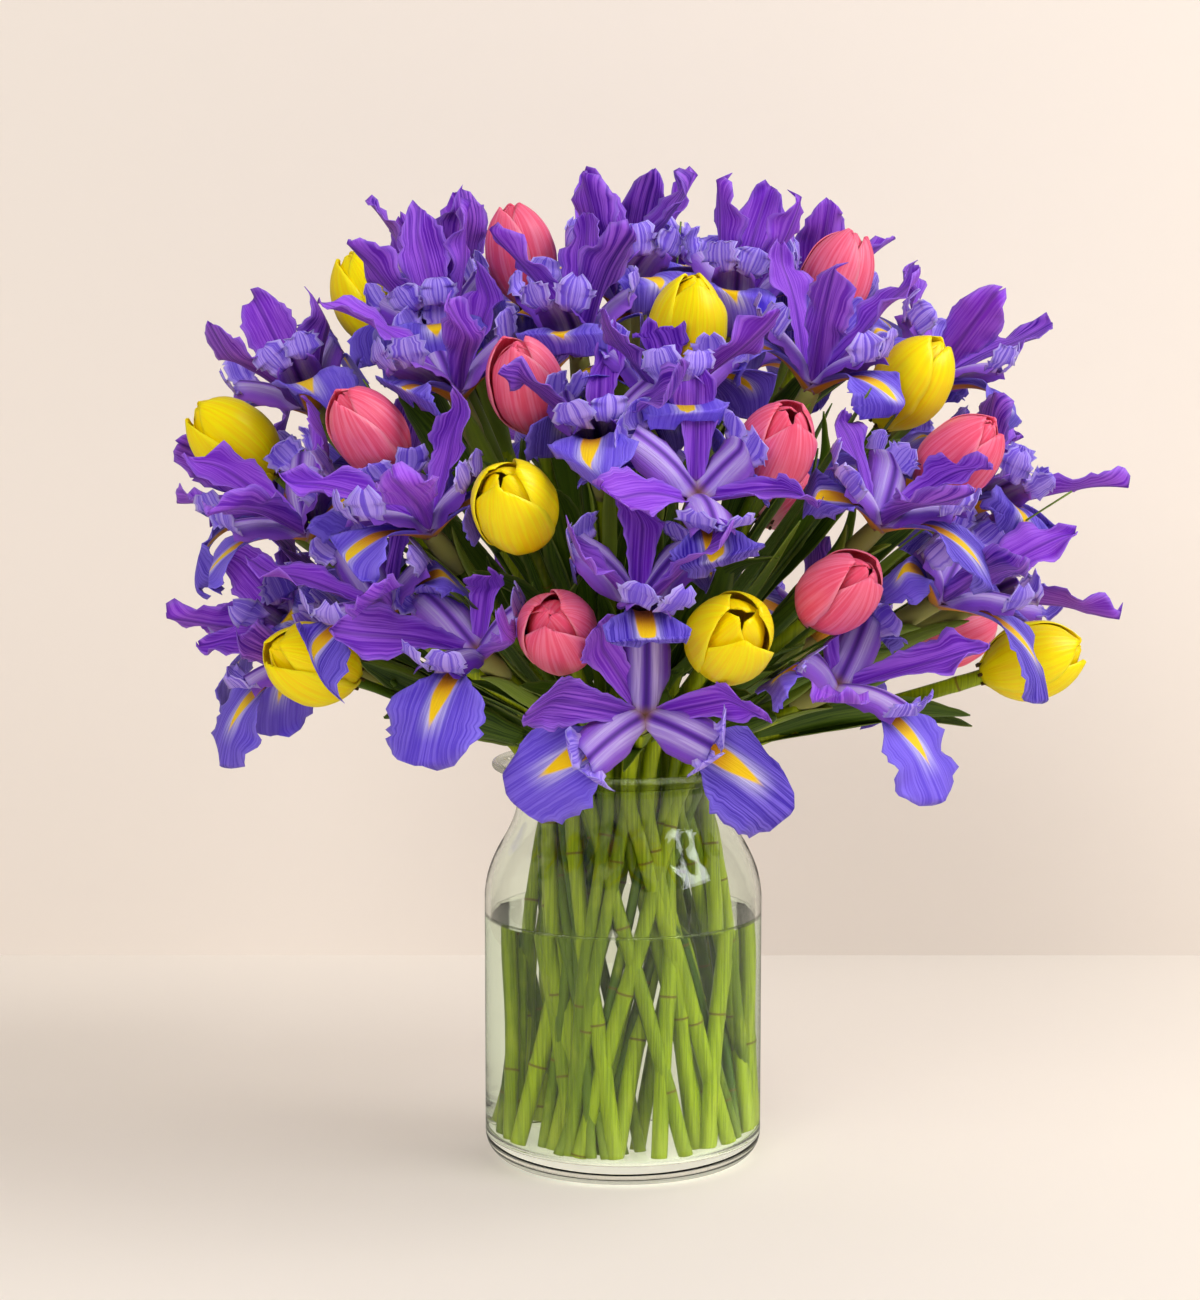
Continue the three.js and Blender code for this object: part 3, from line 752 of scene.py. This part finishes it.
class Sheets:
    """Thin closed blades that are gathered into one mesh, with what their material reads."""

    def __init__(self):
        self.points, self.faces, self.petal, self.place = [], [], [], []
        self.count = 0

    def add(self, points, thick, part, tone, side, along):
        """points: rows along the blade by columns across it, in mm."""
        rows, columns = points.shape[:2]
        over = unit(np.cross(np.gradient(points, axis=1), np.gradient(points, axis=0)))
        edge = np.broadcast_to(np.abs(np.linspace(-1, 1, columns)), (rows, columns))
        lift = over * (thick / 2 * (1 - 0.6 * edge**2))[..., None]
        self.points.append(np.stack([points + lift, points - lift]).reshape(-1, 3))
        at = self.count + np.arange(2 * rows * columns).reshape(2, rows, columns)
        top, low = at
        for a, b, c, d in (
            (top[:-1, :-1], top[:-1, 1:], top[1:, 1:], top[1:, :-1]),
            (low[:-1, :-1], low[1:, :-1], low[1:, 1:], low[:-1, 1:]),
            (top[:-1, 0], top[1:, 0], low[1:, 0], low[:-1, 0]),
            (top[1:, -1], top[:-1, -1], low[:-1, -1], low[1:, -1]),
            (top[0, 1:], top[0, :-1], low[0, :-1], low[0, 1:]),
            (top[-1, :-1], top[-1, 1:], low[-1, 1:], low[-1, :-1]),
        ):
            self.faces.append(np.stack([a.ravel(), b.ravel(), c.ravel(), d.ravel()], 1))
        shape = (rows, columns)
        petal = np.stack([np.full(shape, part), np.full(shape, tone), edge], 2)
        place = np.stack(
            [np.broadcast_to(side, shape), np.broadcast_to(along, shape), np.zeros(shape)], 2
        )
        for kept, values in ((self.petal, petal), (self.place, place)):
            kept.append(np.stack([values, values]).reshape(-1, 3))
        self.count += 2 * rows * columns

    def mesh(self, name):
        made = bpy.data.meshes.new(name)
        points = np.vstack(self.points) * MM
        faces = np.vstack(self.faces)
        made.vertices.add(len(points))
        made.vertices.foreach_set("co", points.ravel())
        made.loops.add(faces.size)
        made.loops.foreach_set("vertex_index", faces.ravel())
        made.polygons.add(len(faces))
        made.polygons.foreach_set("loop_start", np.arange(0, faces.size, 4))
        for attribute_name, values in (("petal", self.petal), ("place", self.place)):
            layer = made.attributes.new(attribute_name, "FLOAT_VECTOR", "POINT")
            layer.data.foreach_set("vector", np.vstack(values).ravel())
        made.validate()
        return made


def ribbon(path, half_widths, side, channel, columns):
    """A blade on a path, with its half width at each row and the depth of its channel."""
    spine = rounded(path, 12)
    along = np.linspace(0, 1, len(half_widths))
    spine = spine[np.round(along * (len(spine) - 1)).astype(int)]
    forward = unit(np.gradient(spine, axis=0))
    side = unit(side - forward * (forward @ side)[:, None])
    over = np.cross(side, forward)
    across = np.linspace(-1, 1, columns)
    wide = half_widths[:, None]
    return (
        spine[:, None]
        + side[:, None] * (across * wide)[..., None]
        + over[:, None] * (channel * across**2 * wide)[..., None]
    )


# foot: share of its width that a blade has at the stem; widest: how far along it is widest;
# tip: where its width would run out, and the two powers of how it does; channel: its depth to
# the blade's half width; grid: rows and columns; thick: mm; papery: 1 for a spathe; tones: the
# lightest tone that its kind may draw
BLADES = {
    "leaf": dict(foot=0.55, widest=0.4, tip=(1.02, 2.2, 0.8), channel=0.35, grid=(40, 7),
                 thick=1.0, papery=0, tones=1.0),
    "spathe": dict(foot=0.5, widest=0.3, tip=(1.01, 2.6, 0.7), channel=-0.75, grid=(18, 9),
                   thick=0.8, papery=1, tones=1.0),
    "stem leaf": dict(foot=0.6, widest=0.3, tip=(1.01, 2.2, 0.8), channel=-0.5, grid=(26, 7),
                      thick=0.9, papery=0, tones=0.6),
    "tulip leaf": dict(foot=0.45, widest=0.4, tip=(1.01, 2.4, 0.85), channel=-0.4, grid=(30, 9),
                       thick=1.0, papery=0, tones=0.8),
}
leaf_draw = np.random.default_rng(11)
blades = Sheets()


def add_blade(kind, path, half, side):
    """A blade of one kind along a path, half its width in mm, gathered with the others."""
    spec = BLADES[kind]
    rows, columns = spec["grid"]
    end, sharp, blunt = spec["tip"]
    s = np.linspace(0, 1, rows)
    growth = spec["foot"] + (1 - spec["foot"]) * step(0, spec["widest"], s)
    points = ribbon(path, half * growth * (end - s**sharp) ** blunt, side, spec["channel"], columns)
    tone = leaf_draw.random() * spec["tones"]
    across = np.linspace(-1, 1, columns)
    blades.add(points, spec["thick"], spec["papery"], tone, across, s[:, None])


def around(flower, angle):
    """The way out from a stem, angle round it from its upper side."""
    aside = np.cross(flower["axis"], flower["upward"])
    return flower["upward"] * math.cos(angle) + aside * math.sin(angle)


def beside(axis, out, *places):
    """A path beside a stem: each place is mm up it from the mouth, and out from it."""
    return [MOUTH + axis * up + out * aside for up, aside in places]


leaves = []
for azimuth, height, tip, width in LEAVES:
    axis = direction(azimuth, height)
    leaves.append(dict(holds=LEAF_ROOM, spread=None, axis=axis))
    stem = max(flowers, key=lambda flower: flower["axis"] @ axis)["axis"]
    path = [
        MOUTH + stem * 60 - axis * 2,
        MOUTH + stem * 82,
        MOUTH + unit(stem + axis) * 104,
        MOUTH + axis * (0.55 * tip + 45),
        MOUTH + axis * tip,
    ]
    add_blade("leaf", path, width / 2, direction(azimuth + 90, 0))
for flower in irises:
    # two spathes, on opposite sides of the stem
    axis, seat = flower["axis"], flower["seat"]
    turn = leaf_draw.uniform(0, 360)
    for side_turn in (0, 180):
        out = around(flower, math.radians(turn + side_turn))
        reach = seat + leaf_draw.uniform(20, 30)
        start = seat - leaf_draw.uniform(42, 52)
        path = beside(axis, out, (start, 3.2), (start + 22, 5.6), (seat + 4, 6.6),
                      (reach, leaf_draw.uniform(8, 12)))
        add_blade("spathe", path, 6.4, np.cross(axis, out))
for flower in irises:
    # stem leaves, which clasp the stem and part from it below the bloom
    axis = flower["axis"]
    for start in (52, 84):
        out = around(flower, leaf_draw.uniform(0, 2 * math.pi))
        top = min(start + leaf_draw.uniform(95, 125), flower["seat"] + 4)
        aside = leaf_draw.uniform(9, 22)
        path = beside(axis, out, (start, 3.6), (0.6 * start + 0.4 * top, 5.4),
                      (0.25 * start + 0.75 * top, 5 + 0.4 * aside), (top, 5 + aside))
        add_blade("stem leaf", path, leaf_draw.uniform(5.2, 7.2), np.cross(axis, out))
for flower in tulips:
    # two broad leaves, which clasp the stem and fold away from it below the head
    axis = flower["axis"]
    for side_turn in (0, 2.4):
        out = around(flower, leaf_draw.uniform(-0.8, 0.8) + side_turn + math.pi / 2)
        top = flower["seat"] - leaf_draw.uniform(2, 26)
        start = top - leaf_draw.uniform(100, 125)
        path = beside(axis, out, (start, 3.4), (0.62 * start + 0.38 * top, 6),
                      (0.28 * start + 0.72 * top, 13), (top, leaf_draw.uniform(24, 36)))
        add_blade("tulip leaf", path, leaf_draw.uniform(11, 14), np.cross(axis, out))


def three_carried(tree, name):
    """The three numbers of a vector that the mesh carries."""
    vector = add_node(tree, "ShaderNodeAttribute", attribute_name=name).outputs["Vector"]
    return add_node(tree, "ShaderNodeSeparateXYZ", {0: vector}).outputs


leaf_green, tree, shader = new_material(
    "leaf green", Roughness=0.5, Subsurface_Weight=0.05, Subsurface_Radius=(0.001, 0.002, 0.0006)
)
papery, tone, edge = three_carried(tree, "petal")
side, along, _ = three_carried(tree, "place")
fibre = lines_on(tree, (side, 11.0), (along, 2.0), tone)
green = layered(
    tree,
    blend(tree, tone, linear(34, 66, 4), linear(86, 122, 12)),
    (fibre, 0.5, linear(116, 148, 34)),
    (papery, 0.45, linear(150, 170, 50)),
    (ease(tree, edge, 0.8, 1.0), 0.4, linear(166, 182, 84)),
)
coat(tree, shader, green, fibre, 0.3, 0.4 * MM)
leaf_mesh = blades.mesh("leaf_blades")
leaf_mesh.materials.append(leaf_green)
leaf_piece = finished("leaf_blades", leaf_mesh)
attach(leaf_piece, "root")
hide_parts("stems")


# ---- The iris blooms ----
# Soft thin petals on a short tube: three falls, each with a yellow signal, three standards
# between them, and three style arms arched over the falls, each ending in two crests. Every
# bloom owns a cone of the dome, and its petals bend clear of the cones beside it.

NEAR = 60  # degrees within which two flowers share out their room
CLEAR = -22.0  # mm that petals of two blooms may reach past each other
TULIP_CLEAR = -9.0  # and past the room of a tulip
FREE = 0.75  # share of the room that a petal uses before it starts to bend
TURN_UP = 32  # degrees that a low bloom turns up from its stem
FRONT_STANDARDS = (-35, 84, -84)  # the front bloom's swing up and aside, clear of the vase


def walls_of(flower):
    """The planes through the mouth that part a bloom from those beside it."""
    walls = []
    for other in flowers + leaves:
        if other is flower:
            continue
        cos_apart = float(np.clip(flower["axis"] @ other["axis"], -1, 1))
        apart = math.acos(cos_apart)
        if apart > math.radians(NEAR):
            continue
        if other["holds"]:
            own = apart - math.radians(other["holds"])
        else:
            own = apart * flower["spread"] / (flower["spread"] + other["spread"])
        towards = unit(other["axis"] - flower["axis"] * cos_apart)
        clear = TULIP_CLEAR if other["holds"] == TULIP_ROOM else CLEAR
        walls.append((towards * math.cos(own) - flower["axis"] * math.sin(own), own, clear))
    return walls


def bend_clear(points, walls):
    """Bends each point of a petal back from the walls that it nears."""
    p = points - MOUTH
    for _ in range(5):
        for out, own, clear in walls:
            room = np.linalg.norm(p, axis=-1) * math.sin(own)
            limit = room - clear
            easy = limit * FREE
            reached = p @ out + room
            past = np.maximum(reached - easy, 0)
            bent = easy + (limit - easy) * (1 - np.exp(-past / (limit - easy)))
            p = p + np.where(past > 0, bent - reached, 0)[..., None] * out
    return p + MOUTH


def fall_width(s):
    claw = 10 + 7 * step(0, 0.3, s)
    blade = claw + (50 - claw) * step(0.36, 0.62, s)
    return blade * np.sqrt(1 - np.clip((s - 0.72) / 0.283, 0, 1) ** 2.6)


def standard_width(s):
    claw = 5 + 9 * step(0, 0.4, s)
    blade = claw + (28 - claw) * step(0.35, 0.66, s)
    return blade * (1 - np.clip((s - 0.66) / 0.342, 0, 1) ** 2.1) ** 0.7


def arm_width(s):
    return 10 + 14 * step(0, 0.5, s) - 3 * step(0.75, 1, s)


# turns: where the petals stand round the bloom; upright and flat: the angles from the bloom's
# axis at which they leave the throat and end, in a closed bloom and an open one; twist and
# sway: how much they differ; reach: how far along its colours run
PETAL_KINDS = {
    "fall": dict(part=0, turns=(0, 120, 240), length=84, upright=(30, 152), flat=(58, 116),
                 width=fall_width, grid=(30, 17), twist=0.14, sway=2.5, reach=1.0),
    "standard": dict(part=1, turns=(60, 180, 300), length=84, upright=(14, 20), flat=(48, 75),
                     width=standard_width, grid=(28, 13), twist=0.32, sway=7, reach=1.0),
    "arm": dict(part=2, turns=(0, 120, 240), length=43, upright=(20, 52), flat=(46, 74),
                width=arm_width, grid=(14, 11), twist=0.14, sway=2.5, reach=0.8),
}


def waves(draw, counts, s):
    """A sum of waves along a petal's edge, each with its own start."""
    return sum(
        size * np.sin(2 * np.pi * (count * s + draw.random())) for count, size in counts
    )


def edges(draw, left, right, s, t):
    """Waves along a petal, of one kind on its left half and another on its right."""
    left, right = waves(draw, left, s), waves(draw, right, s)
    return np.where(t < 0, left[:, None], right[:, None])


def petal_points(flower, kind, turn, draw):
    """The middle layer of one petal, rows along it by columns across, in mm."""
    spec = PETAL_KINDS[kind]
    rows, columns = spec["grid"]
    openness = float(np.clip(flower["open"] + draw.normal(0, 0.06), 0, 1.1))
    start, end = (
        math.radians(closed * (1 - openness) + opened * openness)
        for closed, opened in zip(spec["upright"], spec["flat"])
    )
    length = spec["length"] * draw.uniform(0.93, 1.03)
    s = np.linspace(0, 1, rows)
    fine = np.linspace(0, 1, 8 * rows)
    angle = start + (end - start) * step(0, 1, fine)
    if kind == "standard":
        angle = angle + 0.25 * waves(draw, [(0.8, 1.0)], fine) * fine
    run = np.cumsum(np.stack([np.sin(angle), np.cos(angle)], 1), axis=0) * length / len(fine)
    out = 1.5 + np.interp(s, fine, run[:, 0])[:, None]
    # from the throat, where the style arms stand a little above the other petals
    up = (3 if kind == "arm" else 0) - 4 + np.interp(s, fine, run[:, 1])[:, None]
    slope = np.interp(s, fine, angle)[:, None]
    t = np.linspace(-1, 1, columns)[None]
    u = s[:, None]
    ruffle = edges(draw, [(2.6, 1), (5.3, 0.6)], [(2.9, 1), (4.9, 0.6)], s, t) * t**2
    crinkle = edges(draw, [(13, 1)], [(12, 1)], s, t) * t**6
    nicks = edges(draw, [(9, 1), (17, 0.6)], [(10, 1), (16, 0.6)], s, t)
    across = t * spec["width"](u) / 2
    if kind != "arm":
        across = across * (1 + 0.045 * np.abs(t) ** 3 * nicks)
    if kind == "fall":
        late = step(0.45, 0.8, u)
        lift = -4.5 * t**2 * late + 3.0 * ruffle * late + 0.7 * crinkle * late
        lift = lift + 3.2 * t**2 * (1 - late)
    elif kind == "standard":
        lift = draw.uniform(1.5, 5.5) * t**2
        lift = lift + 3.0 * ruffle * step(0.25, 0.7, u) + 0.8 * crinkle * u
    else:
        lift = 3.4 - 7.0 * t**2 * step(0, 0.3, u) + 1.1 * t**2 * ruffle * u
    twist = draw.normal(0, spec["twist"]) * u
    sway = draw.normal(0, spec["sway"]) * u**2
    across, lift = (
        across * np.cos(twist) - lift * np.sin(twist) + sway,
        across * np.sin(twist) + lift * np.cos(twist),
    )
    azimuth, height = flower["azimuth"], flower["height"]
    throat = MOUTH + flower["axis"] * (flower["seat"] + IRIS_THROAT)
    if "star" not in flower["name"]:
        facing = 0.5 + 0.5 * abs(math.cos(math.radians(azimuth)))
        height += TURN_UP * math.cos(math.radians(height)) * facing
    axis, upward = direction(azimuth, height), direction(azimuth, height + 90)
    turned_by = math.radians(flower["roll"] + turn)
    outward = upward * math.cos(turned_by) - np.cross(axis, upward) * math.sin(turned_by)
    return (
        throat
        + axis * (up + lift * np.sin(slope))[..., None]
        + outward * (out - lift * np.cos(slope))[..., None]
        + np.cross(outward, axis) * across[..., None]
    )


def crest_points(arm, side, draw, rows=11, columns=9):
    """One of the two frilled lobes that stand up at the end of a style arm."""
    last, before = arm[-2], arm[-5]
    middle = len(last) // 2
    root = last[middle] * 0.45 + last[0 if side < 0 else -1] * 0.55
    forward = unit(last[middle] - before[middle])
    across = unit(last[-1] - last[0])
    up = unit(np.cross(across, forward))
    s = np.linspace(0, 1, rows)[:, None]
    t = np.linspace(-1, 1, columns)[None]
    spin = side * draw.uniform(0.25, 0.6)
    rise = draw.uniform(0.1, 0.35) + draw.uniform(0.9, 1.5) * s
    length = draw.uniform(17, 22)
    wide = (5.5 + 4 * step(0, 0.5, s)) * (1 - np.clip((s - 0.6) / 0.42, 0, 1) ** 2) ** 0.5
    frill = waves(draw, [(1.7, 1), (3.6, 0.7)], s) * np.abs(t) * 1.6
    teeth = 1 + 0.13 * waves(draw, [(5, 1), (9, 0.7)], s) * np.abs(t) ** 2
    ahead = np.cumsum(np.cos(rise), 0) * length / rows - length / rows
    above = np.cumsum(np.sin(rise), 0) * length / rows + frill
    aside = t * wide * teeth
    turned_forward = forward * math.cos(spin) + across * math.sin(spin)
    turned_across = across * math.cos(spin) - forward * math.sin(spin)
    return (
        root
        + turned_forward * ahead[..., None]
        + up * (above - 1.5 + 0.12 * np.abs(t) * wide)[..., None]
        + turned_across * (aside + 0 * s)[..., None]
    )


def tube_points(flower):
    """The short green tube below the petals, as a blade rolled shut."""
    upward = flower["upward"]
    side = np.cross(flower["axis"], upward)
    turn = np.linspace(0, 2 * np.pi, 11)[None]
    s = np.linspace(0, 1, 9)[:, None]
    radius = 3.6 + 1.6 * step(0, 0.4, s) - 0.6 * step(0.5, 1, s)
    return (
        MOUTH
        + flower["axis"] * (flower["seat"] + IRIS_THROAT * s + 0 * turn)[..., None]
        + upward * (radius * np.cos(turn))[..., None]
        + side * (radius * np.sin(turn))[..., None]
    )


iris_petal, tree, shader = new_material(
    "iris petal",
    Roughness=0.55,
    Specular_IOR_Level=0.22,
    Sheen_Weight=0.06,
    Subsurface_Weight=0.1,
    Subsurface_Radius=(0.0012, 0.0006, 0.002),
)
part, tone, edge = three_carried(tree, "petal")
side, along, _ = three_carried(tree, "place")
off = calc(tree, "ABSOLUTE", side)
vein = lines_on(tree, (side, 21.0), (along, 1.6), tone)
margin = ease(tree, edge, 0.72, 1.0)
midrib = fade(tree, off, 0.0, 0.09)
# falls: a yellow signal that ends in a point, in a narrow pale halo
halo = times(
    tree,
    fade(tree, off, 0.08, 0.42),
    times(tree, fade(tree, along, 0.64, 0.88), ease(tree, along, 0.3, 0.5)),
    calc(tree, "MULTIPLY_ADD", vein, 0.55, 0.4),
)
signal_edge = times(tree, fade(tree, along, 0.5, 0.82), 0.2)
signal = times(
    tree,
    fade(tree, calc(tree, "SUBTRACT", off, signal_edge), -0.02, 0.035),
    fade(tree, along, 0.7, 0.8),
)
yellow = blend(tree, ease(tree, along, 0.4, 0.6), linear(222, 140, 10), linear(250, 204, 16))
fall = layered(
    tree,
    blend(tree, tone, linear(54, 26, 158), linear(104, 76, 220)),
    (vein, 0.6, linear(144, 118, 242)),
    (margin, 0.35, linear(150, 132, 244)),
    (halo, 1.0, linear(222, 216, 246)),
    (signal, 1.0, yellow),
)
standard = layered(
    tree,
    blend(tree, tone, linear(70, 8, 148), linear(134, 48, 212)),
    (vein, 0.6, linear(182, 108, 244)),
    (margin, 0.3, linear(176, 138, 248)),
    (midrib, 0.5, linear(66, 24, 128)),
)
# style arms: pale stripes beside a dark midline, and pale blue crests
stripe = times(
    tree,
    ease(tree, off, 0.04, 0.16),
    fade(tree, off, 0.2, 0.42),
    calc(tree, "MULTIPLY_ADD", vein, 0.4, 0.45),
)
crest = blend(tree, vein, linear(116, 84, 220), linear(184, 158, 252))
crest = layered(tree, crest, (margin, 0.5, linear(200, 190, 246)))
arm = layered(
    tree,
    blend(tree, tone, linear(92, 38, 170), linear(156, 96, 222)),
    (stripe, 1.0, linear(206, 188, 238)),
    (midrib, 0.75, linear(52, 26, 110)),
    (ease(tree, along, 0.78, 0.98), 1.0, crest),
)
colour = layered(
    tree,
    fall,
    (calc(tree, "GREATER_THAN", part, 0.5), 1.0, standard),
    (calc(tree, "GREATER_THAN", part, 1.5), 1.0, arm),
    (fade(tree, along, 0.02, 0.16), 0.8, linear(148, 106, 50)),  # the throat
    (calc(tree, "GREATER_THAN", part, 2.5), 1.0, linear(150, 150, 76)),  # the tube
)
coat(tree, shader, colour, vein, 0.35, 0.5 * MM)

SPAN = 44  # mm of width at which a petal's edges lie at -1 and 1, for its colours
iris_draw = np.random.default_rng(41)
for flower in irises:
    walls = walls_of(flower)
    bloom = Sheets()
    for kind, spec in PETAL_KINDS.items():
        rows, columns = spec["grid"]
        s = np.linspace(0, 1, rows)[:, None]
        side = np.linspace(-1, 1, columns)[None] * spec["width"](s) / SPAN
        swung = kind == "standard" and flower["name"] == "iris_front_star"
        for turn in FRONT_STANDARDS if swung else spec["turns"]:
            points = petal_points(flower, kind, turn, iris_draw)
            tone = iris_draw.random()
            bloom.add(bend_clear(points, walls), 0.9, spec["part"], tone, side, spec["reach"] * s)
            for lobe in (-1, 1) if kind == "arm" else ():
                crest = crest_points(points, lobe, iris_draw)
                far = np.minimum(np.linspace(0.8, 1.3, len(crest))[:, None], 1.0)
                t = np.linspace(-0.3, 0.3, crest.shape[1])[None]
                bloom.add(bend_clear(crest, walls), 0.7, spec["part"], tone, t, far)
    bloom.add(tube_points(flower), 0.8, 3, 0.5, 0.5, 0.5)
    mesh = bloom.mesh(flower["name"] + "_bloom")
    mesh.materials.append(iris_petal)
    piece = finished(flower["name"] + "_bloom", mesh)
    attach(piece, "root")
    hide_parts(flower["name"])


# ---- The tulip heads ----
# Cupped waxy petals, three outer ones and three inner ones that show between them, joined
# at the top of the stem and closed over six stamens and a pistil.

OUTER, INNER = 0, 60


def tulip_petal(openness, name):
    """One petal standing up from the origin, bowed round the head's axis, in metres."""
    rows, columns = 26, 15
    u = np.linspace(0, 1, rows)[:, None]
    t = np.linspace(-1, 1, columns)[None]
    heights = [0, 0.12, 0.3, 0.5, 0.72, 0.88, 1]
    closed = np.interp(u, heights, [3, 10.5, 16, 17.6, 15.6, 11.5, 5.5])
    opened = np.interp(u, heights, [3, 11.5, 17.5, 20, 20.5, 18.5, 14])
    kernel = np.array([1, 2, 3, 2, 1]) / 9
    radius = closed * (1 - openness) + opened * openness
    smoothed = np.convolve(np.pad(radius[:, 0], 2, mode="edge"), kernel, mode="valid")[:, None]
    smoothed = smoothed + (radius - smoothed) * step(0.85, 1, u)
    wide = (10 + 12 * step(0, 0.4, u)) * (1 - np.clip((u - 0.52) / 0.49, 0, 1) ** 1.9) ** 0.8
    half = np.minimum(wide / smoothed, math.radians(82))
    turn = half * t
    ridge = 0.7 * np.exp(-((t / 0.12) ** 2)) * (1 - u)
    out = smoothed + 0.9 * t - 1.2 * t**2 * step(0.1, 0.6, u) + ridge
    out = out + 1.4 * np.abs(t) ** 3 * step(0.5, 0.9, u)
    high = TULIP_HEIGHT * (0.03 + 0.97 * u) - 1.5 * t**2 * step(0.4, 0.9, u)
    grid = np.stack([out * np.sin(turn), -out * np.cos(turn), high], 2)
    sheet = Sheets()
    sheet.add(grid, 1.1, 0, 0, t * half / 1.2, u)
    return sheet.mesh(name)


def tulip_tree():
    """Three outer and three inner petals round one axis, each set a little differently."""
    tree, ids, given = geometry_tree(
        "tulip head",
        {
            "Petals In A Ring": ("Int", 3),
            "Inner Size": ("Float", 0.93),
            "Lean": ("Float", 0.035),
            "Seed": ("Int", 0),
            "Material": ("Material", None),
        },
    )
    index = add_node(tree, "GeometryNodeInputIndex").outputs[0]
    gathered = add_node(tree, "GeometryNodeJoinGeometry")
    for ring, (first, width) in enumerate(((OUTER, 1.0), (INNER, given["Inner Size"]))):
        spots = add_node(tree, "GeometryNodePoints", {"Count": given["Petals In A Ring"]})
        seed = calc(tree, "MULTIPLY_ADD", given["Seed"], 2.0, float(ring))
        # the inner petals lean in over the heart
        least, most = (-1 - 2.5 * ring, -0.4, -2), (1 - 2.5 * ring, 0.4, 2)
        lean = add_node(
            tree, "FunctionNodeRandomValue", {0: least, 1: most, "ID": index, "Seed": seed},
            data_type="FLOAT_VECTOR",
        )
        scaled = add_node(
            tree, "ShaderNodeVectorMath", {0: lean.outputs[0], "Scale": given["Lean"]},
            operation="SCALE",
        )
        apart = calc(tree, "DIVIDE", 2 * math.pi, given["Petals In A Ring"])
        turn = calc(tree, "MULTIPLY_ADD", index, apart, math.radians(first))
        turned_by = add_node(tree, "ShaderNodeCombineXYZ", {"Z": turn})
        both = add_node(
            tree, "ShaderNodeVectorMath", {0: turned_by.outputs[0], 1: scaled.outputs[0]}
        )
        size = {"X": width, "Y": width, "Z": 1.0 - 0.02 * ring}
        set_out = add_node(
            tree, "GeometryNodeInstanceOnPoints",
            {"Points": spots.outputs[0], "Instance": given["Geometry"],
             "Rotation": both.outputs[0],
             "Scale": add_node(tree, "ShaderNodeCombineXYZ", size).outputs[0]},
        )
        # the inner petals draw the higher tones, which their material makes deeper: painted shade
        # in the folds between the outer petals, over a tone that differs at random from petal to
        # petal
        tone = add_node(
            tree, "FunctionNodeRandomValue",
            {2: 0.5 * ring, 3: 0.5 + 0.5 * ring, "ID": index, "Seed": seed},
        )
        petals = stored(tree, set_out.outputs[0], "tone", tone.outputs[1], domain="INSTANCE")
        tree.links.new(petals, gathered.inputs[0])
    # a pistil with six stamens round it, marked in the petal attribute as no petal
    ring_of_six = add_node(tree, "GeometryNodeMeshCircle", {"Vertices": 6, "Radius": 5 * MM})
    stamen, pistil = (
        add_node(
            tree, "GeometryNodeMeshCone",
            {"Vertices": sides, "Radius Top": top * MM, "Radius Bottom": foot * MM,
             "Depth": tall * MM},
        )
        for sides, top, foot, tall in ((6, 1.2, 0.9, 21), (8, 2.6, 2.2, 23))
    )
    stamens = add_node(
        tree, "GeometryNodeInstanceOnPoints",
        {"Points": ring_of_six.outputs[0], "Instance": stamen.outputs[0]},
    )
    for heart, mark in ((stamens, 2.0), (pistil, 1.0)):
        loose = add_node(tree, "GeometryNodeRealizeInstances", {"Geometry": heart.outputs[0]})
        marked = stored(
            tree, loose.outputs[0], "petal", (mark, 0, 0), data_type="FLOAT_VECTOR"
        )
        tree.links.new(marked, gathered.inputs[0])
    hand_out(tree, gathered.outputs[0], given["Material"])
    return tree, ids


def tulip_material(name, deep, light, foot, rim):
    """Waxy petal: streaked along its length, deeper by a tone that differs at random and is deeper
    on the inner petals as painted shade in the folds, its own colour at the foot.
    """
    made, tree, shader = new_material(
        name,
        Roughness=0.36,
        Specular_IOR_Level=0.3,
        Subsurface_Weight=0.15,
        Subsurface_Radius=(0.003, 0.0015, 0.001),
    )
    tone = carried(tree, "tone")
    part, _, edge = three_carried(tree, "petal")
    side, along, _ = three_carried(tree, "place")
    streak = lines_on(tree, (side, 15.0), (along, 1.3), tone)
    stamens = calc(tree, "GREATER_THAN", part, 1.5)
    heart = blend(tree, stamens, linear(176, 182, 84), linear(84, 62, 30))
    colour = layered(
        tree,
        blend(tree, calc(tree, "MULTIPLY_ADD", streak, 0.55, 0.2), deep, light),
        # deeper by the tone: at random, and more on the inner petals as painted shade in the folds
        (tone, 0.45, deep),
        (ease(tree, edge, 0.82, 1.0), 0.6, rim),
        (fade(tree, along, 0.0, 0.2), 0.7, foot),
        (calc(tree, "GREATER_THAN", part, 0.5), 1.0, heart),
    )
    coat(tree, shader, colour, streak, 0.22, 0.5 * MM)
    return made


TULIP_COLOURS = {
    "yellow": tulip_material(
        "yellow tulip petal", linear(255, 212, 0), linear(255, 244, 0),
        linear(232, 214, 10), linear(255, 242, 40),
    ),
    "pink": tulip_material(
        "pink tulip petal", linear(238, 66, 104), linear(254, 142, 172),
        linear(244, 190, 176), linear(255, 160, 180),
    ),
}
FULLNESS = {"yellow": 1.14, "pink": 1.05}  # the yellow heads are the fuller ones
OPENED = 0.7  # share of their solids' openness that the visible heads have
head_tree, head_ids = tulip_tree()
for number, flower in enumerate(tulips, len(irises)):
    colour = "yellow" if "yellow" in flower["name"] else "pink"
    mesh = grown(
        flower["name"] + "_head",
        tulip_petal(OPENED * flower["open"], flower["name"] + " petal"),
        head_tree,
        {head_ids["Seed"]: number, head_ids["Material"]: TULIP_COLOURS[colour]},
    )
    points = np.empty(len(mesh.vertices) * 3)
    mesh.vertices.foreach_get("co", points)
    points = points.reshape(-1, 3)
    points[:, :2] *= FULLNESS[colour]
    across = direction(flower["azimuth"] + 90, 0)
    base = (MOUTH + flower["axis"] * flower["seat"]) * MM
    spun = base + points @ np.stack([across, flower["upward"], flower["axis"]])
    mesh.vertices.foreach_set("co", spun.ravel())
    piece = finished(flower["name"] + "_head", mesh)
    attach(piece, "root")
    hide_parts(flower["name"])
